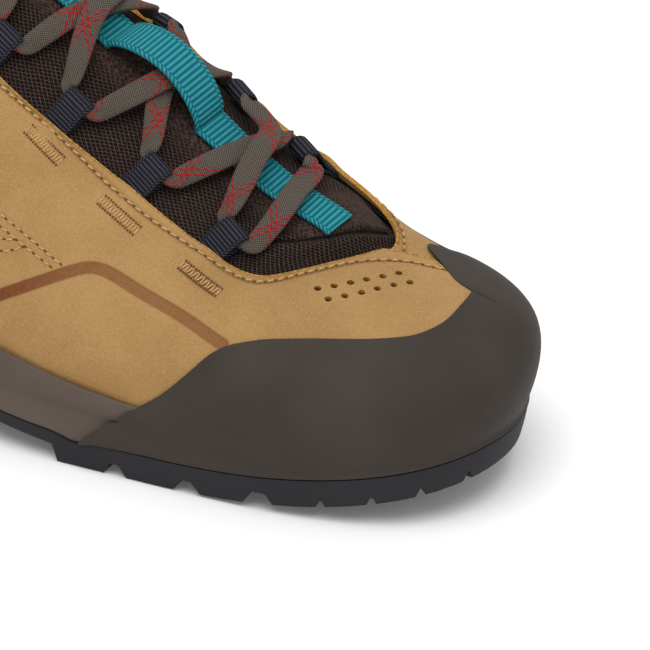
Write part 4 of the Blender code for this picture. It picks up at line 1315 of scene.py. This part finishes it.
def sweep(name, line, up, half_wide, half_thick, power, points, ribs=None):
    """A strip or cord along a line. Its section is a rounded oblong, boxier as the power grows."""
    ahead = unit(np.gradient(line, axis=0))
    up = unit(up - ahead * np.sum(up * ahead, -1, keepdims=True))
    side = np.cross(ahead, up)
    angle = np.linspace(0, 2 * np.pi, points + 1)
    cos, sin = np.cos(angle), np.sin(angle)
    across = np.sign(cos) * np.abs(cos) ** (2 / power)
    high = np.sign(sin) * np.abs(sin) ** (2 / power)
    half_wide, half_thick = (np.broadcast_to(size, len(line)) for size in (half_wide, half_thick))
    lift = half_thick if ribs is None else half_thick + ribs
    places = (
        line[:, None]
        + side[:, None] * (across[None, :, None] * half_wide[:, None, None])
        + up[:, None] * (high[None, :, None] * lift[:, None, None])
    )
    run = np.append(0, np.cumsum(np.linalg.norm(np.diff(line, axis=0), axis=1)))
    round_way = lengths(places[len(places) // 2][None], 1)[0]
    round_way = round_way - np.interp(np.pi / 2, angle, round_way)
    charts = np.stack(np.broadcast_arrays(run[:, None], round_way[None]), -1)
    return surface(name, places, charts, weld=True)


def ribs_of(line, pitch, deep):
    """Heights of a webbing's ribs along a line."""
    run = np.append(0, np.cumsum(np.linalg.norm(np.diff(line, axis=0), axis=1)))
    return deep * np.abs(np.cos(np.pi * run / pitch))


def resampled(values, spacing):
    """The rows of values at even spacing along their first three columns, which are a line."""
    run = np.append(0, np.cumsum(np.linalg.norm(np.diff(values[:, :3], axis=0), axis=1)))
    even = np.linspace(0, run[-1], int(run[-1] / spacing) + 2)
    return np.stack([np.interp(even, run, values[:, k]) for k in range(values.shape[1])], -1)


WEBBING_ROWS = (2.86, 9.1)
WIDTH_ROWS = [2.86, 5.4, 6.2, 7.4, 9.1]
WEBBING_HALF = [4.7, 4.8, 5.4, 5.4, 4.7]  # half the strip's width at those rows
WEBBING_THICK = 0.5  # half its thickness
WEBBING_LIFT = 0.7  # how far its middle lies above the mesh, past the gap
ARCH_ROWS = (5.93, 7.72)
ARCH_HIGH = 9.5
ARCH_ROUND = 0.6  # 1 is a plain sine, and less is steeper at both feet
TEAL_RIB_DEEP = 0.13
NAVY_RIB_DEEP = 0.08
BOXY = 7.0  # the power of a webbing's section


def make_webbing():
    """The teal strip down the tongue, raised as a keeper for the lace."""
    start, end = WEBBING_ROWS
    rows = np.linspace(start, end, 400)
    share = np.clip((rows - ARCH_ROWS[0]) / (ARCH_ROWS[1] - ARCH_ROWS[0]), 0, 1)
    lift = ARCH_HIGH * np.sin(np.pi * share) ** ARCH_ROUND + GAP + WEBBING_LIFT
    line = tongue(rows, 0.0, lift)
    up = tongue(rows, 0.0, 1.0) - tongue(rows, 0.0)
    half = np.interp(rows, WIDTH_ROWS, WEBBING_HALF)
    fine = resampled(np.column_stack([line, up, half]), TEAL_RIB / 6)
    ribs = ribs_of(fine[:, :3], TEAL_RIB, TEAL_RIB_DEEP)
    strip = sweep("tongue_strip", fine[:, :3], fine[:, 3:6], fine[:, 6], WEBBING_THICK, BOXY, 28, ribs)
    hand_over(strip, [TEAL], "webbing_teal", "tongue_webbing")


# The rows of the loops, on the outer and inner side.
LOOPS = [(3.76, 4.75), (5.64, 6.20), (7.11, 7.87), (8.70, 9.37), (10.25, 10.75)]
LOOP_WIDTH = 7.6
LOOP_REACH = 8.2
LOOP_HIGH = 3.3
LOOP_BAND = 0.45  # half the webbing's thickness
LOOP_HOLE = (2.0, 1.35)  # half the width and height of the lace's hole
LOOP_BACK = 0.9  # how far back from the lace's middle the fold turns
LOOP_TURN = 0.62 * np.pi  # how far round it goes, each way from its tip
LOOP_LOW = [(-3.0, -0.1), (0.0, 0.75), (2.6, 1.05)]  # the band in and up, below the lace
LOOP_TOP = [(3.2, 3.1), (0.6, 1.9), (-3.0, 0.9)]  # and back above it


def loop_frame(row, side):
    """The leather's edge at a loop, the ways in, up and along, and the middle of the lace's hole."""
    edge = tongue(row, side * EDGE_Q)
    half_way = side * (EDGE_Q + LOOP_Q) / 2
    inward = unit(tongue(row, side * LOOP_Q) - edge)
    up = tongue(row, half_way, 1.0) - tongue(row, half_way)
    up = unit(up - inward * np.dot(up, inward))
    along = np.cross(inward, up) * side
    return edge, inward, up, along, edge + inward * LOOP_REACH + up * LOOP_HIGH


def make_loop(name, row, side):
    """A folded band: out from under the leather, round the lace and back."""
    edge, inward, up, _, _ = loop_frame(row, side)
    wide, high = LOOP_HOLE[0] + LOOP_BAND, LOOP_HOLE[1] + LOOP_BAND
    turn = np.linspace(-LOOP_TURN, LOOP_TURN, 15)
    bend = np.stack([LOOP_REACH - LOOP_BACK + wide * np.cos(turn), LOOP_HIGH + high * np.sin(turn)], -1)
    path = np.concatenate([LOOP_LOW, bend, LOOP_TOP])
    run = np.append(0, np.cumsum(np.sqrt(np.linalg.norm(np.diff(path, axis=0), axis=1))))
    path = spline(run, path)(np.linspace(0, run[-1], 200))
    line = edge + path[:, :1] * inward + path[:, 1:] * up
    slope = np.gradient(path, axis=0)
    across = slope[:, 1:] * inward - slope[:, :1] * up
    fine = resampled(np.column_stack([line, across]), NAVY_RIB / 5)
    ribs = ribs_of(fine[:, :3], NAVY_RIB, NAVY_RIB_DEEP)
    band = sweep(name + "_webbing", fine[:, :3], fine[:, 3:6], LOOP_WIDTH / 2, LOOP_BAND, BOXY, 24, ribs)
    hand_over(band, [NAVY], "webbing_navy", name)


def make_loops():
    """The ten loops, from the toe end up."""
    for number, pair in enumerate(LOOPS, 1):
        for side, row, word in ((-1, pair[0], "lateral"), (1, pair[1], "medial")):
            make_loop(f"lace_loop_{word}_{number}", row, side)


LACE_UNDER = 3.9  # how high over the tongue the lower strand of a crossing runs
LACE_OVER = 7.4  # and the upper one
BAR_HIGH = 4.2  # and the bar at the toe
BAR_ENDS = (0.5, 0.2)  # how far to the toe of its two loops the bar runs, in rows
STRAND_ENDS = 0.4  # how far past a loop a strand starts, in rows
STRAND_SHARES = np.array([0.26, 0.5, 0.74])  # where a strand has its places
STRAND_BOW = 0.9  # how far it bows up at the outer two
LOOP_CLEAR = 0.4  # how far past the loop's edge the lace is still held
FREE = (3.0, 1.0)  # half width and half thickness of the lace where it runs free
HELD = (1.45, 1.2)  # and where a loop holds it
TURNED = (2.5, 0.95)  # and where it turns out of one
TURN_PLACE = ((1.2, 2.0), (1.7, 1.7))  # how far out and inward it turns, on the outer and inner side
TURN_HIGH = 0.3
LACE_LEAN = (0.5, 1.4)  # how far it leans over there
LACE_SPACING = 0.8
LACE_ROUND = 2.6  # the power of its section


def through_loop(number, side):
    """The stretch of lace in a loop, from its toe end to its heel end: place, upward way and half sizes."""
    which = 0 if side < 0 else 1
    row = LOOPS[number][which]
    _, inward, up, along, centre = loop_frame(row, side)
    reach = LOOP_WIDTH / 2 + LOOP_CLEAR
    ends = [[*(centre + along * way * reach), *up, *HELD] for way in (-1, 1)]
    lean = LACE_LEAN[which]
    out, in_by = TURN_PLACE[which]
    turns = []
    for way in (-1, 1):
        spot = centre + along * way * (reach + out) + inward * in_by + up * TURN_HIGH
        turns.append([*spot, *unit(up + along * way * lean), *TURNED])
    return row, [turns[0], ends[0], ends[1], turns[1]]


def crossing(row_a, row_b, side, high):
    """Places of a strand over the tongue, from one side to the other."""
    rows = row_a + (row_b - row_a) * STRAND_SHARES
    across = side * LOOP_Q * (1 - 2 * STRAND_SHARES)
    bow = (high + LOOP_HIGH) / 2 + STRAND_BOW
    lift = np.array([bow, high, bow])
    spots = tongue(rows, across, lift)
    ups = tongue(rows, across, lift + 1.0) - spots
    return [[*spot, *up, *FREE] for spot, up in zip(spots, ups)]


def lace_route():
    """The lace from one top loop down to the toe and up to the other, with a bar across at the toe."""

    def climb(side):
        high = LACE_OVER if side < 0 else LACE_UNDER
        places = []
        for number in range(len(LOOPS)):
            row, stretch = through_loop(number, side)
            places += stretch
            if number + 1 < len(LOOPS):
                next_row = LOOPS[number + 1][1 if side < 0 else 0]
                places += crossing(row + STRAND_ENDS, next_row - STRAND_ENDS, side, high)
            side = -side
        return places

    outer, inner = np.subtract(LOOPS[0], BAR_ENDS)
    return climb(-1)[::-1] + crossing(outer, inner, -1, BAR_HIGH) + climb(1)


def make_lace():
    """The flat lace: smooth through its places, its width and lean changing evenly between them."""
    route = np.array(lace_route())
    gaps = np.linalg.norm(np.diff(route[:, :3], axis=0), axis=1)
    run = np.append(0, np.cumsum(np.sqrt(gaps)))
    even = np.linspace(0, run[-1], 3000)
    fine = spline(run, route)(even)
    for k in range(3, 8):
        fine[:, k] = np.interp(even, run, route[:, k])
    fine = resampled(fine, LACE_SPACING)
    cord = sweep("lace_flat", fine[:, :3], fine[:, 3:6], fine[:, 6], fine[:, 7], LACE_ROUND, 28)
    hand_over(cord, [BRAID], "lace", "lace")


THROAT_STITCH = [
    (0.2250, 0.968), (0.2450, 0.970), (0.2700, 0.972), (0.2928, 0.975), (0.3062, 0.981), (0.3202, 0.979),
    (0.3360, 0.968), (0.3510, 0.948), (0.3702, 0.937), (0.3814, 0.940), (0.3920, 0.951), (0.4028, 0.959),
    (0.4134, 0.958), (0.4274, 0.959), (0.4462, 0.968), (0.4622, 0.974), (0.4756, 0.975), (0.4918, 0.967),
    (0.4996, 0.950), (0.5066, 0.925), (0.5116, 0.893), (0.5142, 0.852), (0.5165, 0.815),
]
INNER_STITCH = [
    (0.5230, 0.962), (0.5378, 0.975), (0.5500, 0.972), (0.5650, 0.965), (0.6000, 0.955), (0.6400, 0.950),
    (0.6800, 0.955), (0.7200, 0.960), (0.7700, 0.960),
]
SIDE_STITCHES = [
    [(0.2760, 0.612), (0.3010, 0.593), (0.3156, 0.574), (0.3304, 0.542)],
    [(0.2760, 0.578), (0.3012, 0.555), (0.3124, 0.540), (0.3254, 0.515)],
    [(0.2820, 0.520), (0.3014, 0.517), (0.3084, 0.541)],
    [(0.2820, 0.440), (0.3014, 0.478), (0.3056, 0.495), (0.3124, 0.532)],
]
BAR_TACKS = [
    ((0.3914, 0.840), (0.4084, 0.820)),
    ((0.3512, 0.870), (0.3694, 0.845)),
    ((0.3108, 0.922), (0.3284, 0.900)),
    ((0.2690, 0.900), (0.2860, 0.905)),
    ((0.2340, 0.880), (0.2500, 0.885)),
]
STITCH = 2.7
STITCH_LEAN = 0.16
STITCH_HIGH = 0.1
TACK_WIDE = 2.8
TACK_STEP = 0.75
TACK_LEAN = (-0.12, 0.25)
TACK_HIGH = 0.12
COLLAR_SEAM = 0.215  # how far round from the heel the seam under the collar goes
COLLAR_SEAM_LOW = 0.03  # and how far below the leather's edge

# Half sizes of stitches and of the dark beads of painted shade at their needle holes: along, across and high.
STITCH_SIZE = (STITCH * 0.37, 0.27, 0.3)
STITCH_HOLE = (0.5, 0.3, 0.14)
TACK_SIZE = (TACK_WIDE / 2, 0.25, 0.32)
TACK_HOLE = (0.32, 0.34, 0.16)


class Beads:
    """Small rounded pieces of one kind, all in one mesh."""

    def __init__(self):
        self.form = bmesh.new()
        one = bmesh.new()
        bmesh.ops.create_uvsphere(one, u_segments=8, v_segments=5, radius=1)
        self.ball = np.array([vert.co[:] for vert in one.verts])
        self.one = bpy.data.meshes.new("bead")
        one.to_mesh(self.one)
        one.free()

    def add(self, place, ahead, normal, *half_sizes):
        turn = np.stack([ahead, np.cross(normal, ahead), normal])
        spots = (self.ball * half_sizes) @ turn + place - MIDDLE
        self.one.vertices.foreach_set("co", (spots * MM).astype(np.float32).ravel())
        self.form.from_mesh(self.one)

    def piece(self, name):
        bpy.data.meshes.remove(self.one)
        return as_piece(name, self.form)


def stitched(track, threads, holes, lift=0.0):
    """A row of stitches along a track, each sunk at both ends, with a dark bead of painted shade at each
    needle hole.
    """
    _, length = on_skin(track, 2)
    count = max(2, int(round(length / STITCH)))
    spots, _ = on_skin(track, 2 * count + 1)
    places = skin(spots[:, 0], spots[:, 1])
    normals = skin_normal(spots[:, 0], spots[:, 1])
    ahead = unit(np.gradient(places, axis=0))
    lean = unit(ahead + np.cross(normals, ahead) * STITCH_LEAN)
    for k in range(2 * count + 1):
        place = places[k] + normals[k] * lift
        if k % 2:
            threads.add(place + normals[k] * STITCH_HIGH, lean[k], normals[k], *STITCH_SIZE)
        else:
            holes.add(place, ahead[k], normals[k], *STITCH_HOLE)


def tacked(start, end, threads, holes):
    """A bar tack: threads side by side across a short bar, with dark beads of painted shade at the needle
    holes along both sides.
    """
    _, length = on_skin([start, end], 2)
    count = int(length / TACK_STEP)
    spots, _ = on_skin([start, end], count)
    places = skin(spots[:, 0], spots[:, 1])
    normals = skin_normal(spots[:, 0], spots[:, 1])
    ahead = unit(np.gradient(places, axis=0))
    side = np.cross(normals, ahead)
    for k in range(count):
        lean = unit(side[k] + ahead[k] * TACK_LEAN[k % 2])
        threads.add(places[k] + normals[k] * TACK_HIGH, lean, normals[k], *TACK_SIZE)
        for way in (-1, 1):
            spot = places[k] + side[k] * way * TACK_WIDE / 2
            holes.add(spot + normals[k] * STITCH_HIGH, ahead[k], normals[k], *TACK_HOLE)


def make_stitching():
    """All the seams' stitches and the bar tacks that hold the loops."""
    threads, holes = Beads(), Beads()
    stitched(THROAT_STITCH, threads, holes, SEAM_LIFT * 0.4)
    stitched(INNER_STITCH, threads, holes)
    for track in SIDE_STITCHES:
        stitched(track, threads, holes)
        stitched(mirrored(track), threads, holes)
    for start, end in BAR_TACKS:
        tacked(start, end, threads, holes)
        tacked(*mirrored([start, end]), threads, holes)
    around = np.linspace(-COLLAR_SEAM, COLLAR_SEAM, 16)
    stitched([(u, float(leather_top(u)) - COLLAR_SEAM_LOW) for u in around], threads, holes)
    hand_over(threads.piece("stitching"), [THREAD], "leather")
    hand_over(holes.piece("needle_hole_shade"), [HOLE_SHADE], "leather")


LAMPS = [  # name, where it stands from the aim in metres, width, power
    ("key", (0.3, -0.7, 1.7), 1.7, 25.0),
    ("back", (-0.6, 1.3, 1.2), 1.6, 3.5),
]
SKY = 0.66
FLOOR_SHADE = 0.92
FLOOR_GLOW = 0.06
FLOOR_DROP = 0.0003  # metres
WHITE = (1.0, 1.0, 1.0, 1.0)
AIM = np.array([236.28, 0.66, 29.84])  # the place in the middle of the picture
CAMERA_BACK = Vector((0.4527, -0.7793, 0.4334))
CAMERA_RIGHT = Vector((0.8558, 0.5162, 0.0343))
CAMERA_AWAY = 1.2
PICTURE = 650  # pixels
PIXELS_PER_MM = 4.102  # at the aim
SENSOR = 36.0


def make_studio():
    """A pale floor, soft light from above and a pale sky."""
    form = bmesh.new()
    bmesh.ops.create_grid(form, x_segments=1, y_segments=1, size=6.0)
    floor = as_piece("floor", form)
    pale = Finish("pale_floor", Roughness=0.9, Specular_IOR_Level=0.0)
    pale.shader.inputs["Base Color"].default_value = (FLOOR_SHADE, FLOOR_SHADE, FLOOR_SHADE, 1.0)
    pale.shader.inputs["Emission Color"].default_value = WHITE
    pale.shader.inputs["Emission Strength"].default_value = FLOOR_GLOW
    floor.data.materials.append(pale.material)
    floor.location.z = -FLOOR_DROP
    world = bpy.context.scene.world or bpy.data.worlds.new("studio")
    bpy.context.scene.world = world
    world.use_nodes = True
    world.node_tree.nodes["Background"].inputs["Color"].default_value = WHITE
    world.node_tree.nodes["Background"].inputs["Strength"].default_value = SKY
    aim = Vector((AIM - MIDDLE) * MM)
    for name, way, size, power in LAMPS:
        lamp = bpy.data.lights.new(name, "AREA")
        lamp.shape = "DISK"
        lamp.size = size
        lamp.energy = power
        thing = bpy.data.objects.new(name, lamp)
        bpy.context.scene.collection.objects.link(thing)
        thing.location = aim + Vector(way)
        thing.rotation_euler = Vector(way).to_track_quat("Z", "Y").to_euler()


def make_camera():
    """The camera at the photo's angle to the shoe."""
    lens = bpy.data.cameras.new("photo_camera")
    lens.sensor_width = SENSOR
    lens.lens = PIXELS_PER_MM * CAMERA_AWAY / MM / PICTURE * SENSOR
    lens.clip_start = 0.05
    camera = bpy.data.objects.new("photo_camera", lens)
    bpy.context.scene.collection.objects.link(camera)
    back = CAMERA_BACK.normalized()
    right = (CAMERA_RIGHT - back * CAMERA_RIGHT.dot(back)).normalized()
    turn = Matrix((right, back.cross(right), back)).transposed().to_4x4()
    camera.matrix_world = Matrix.Translation(Vector((AIM - MIDDLE) * MM) + back * CAMERA_AWAY) @ turn
    bpy.context.scene.camera = camera
    bpy.context.scene.view_settings.view_transform = "Standard"


make_camera()
make_lace()
make_leather()
make_lining()
make_rand()
make_counter()
make_outsole()
make_midsole()
make_insole()
make_tongue()
make_webbing()
make_loops()
make_stitching()
make_studio()
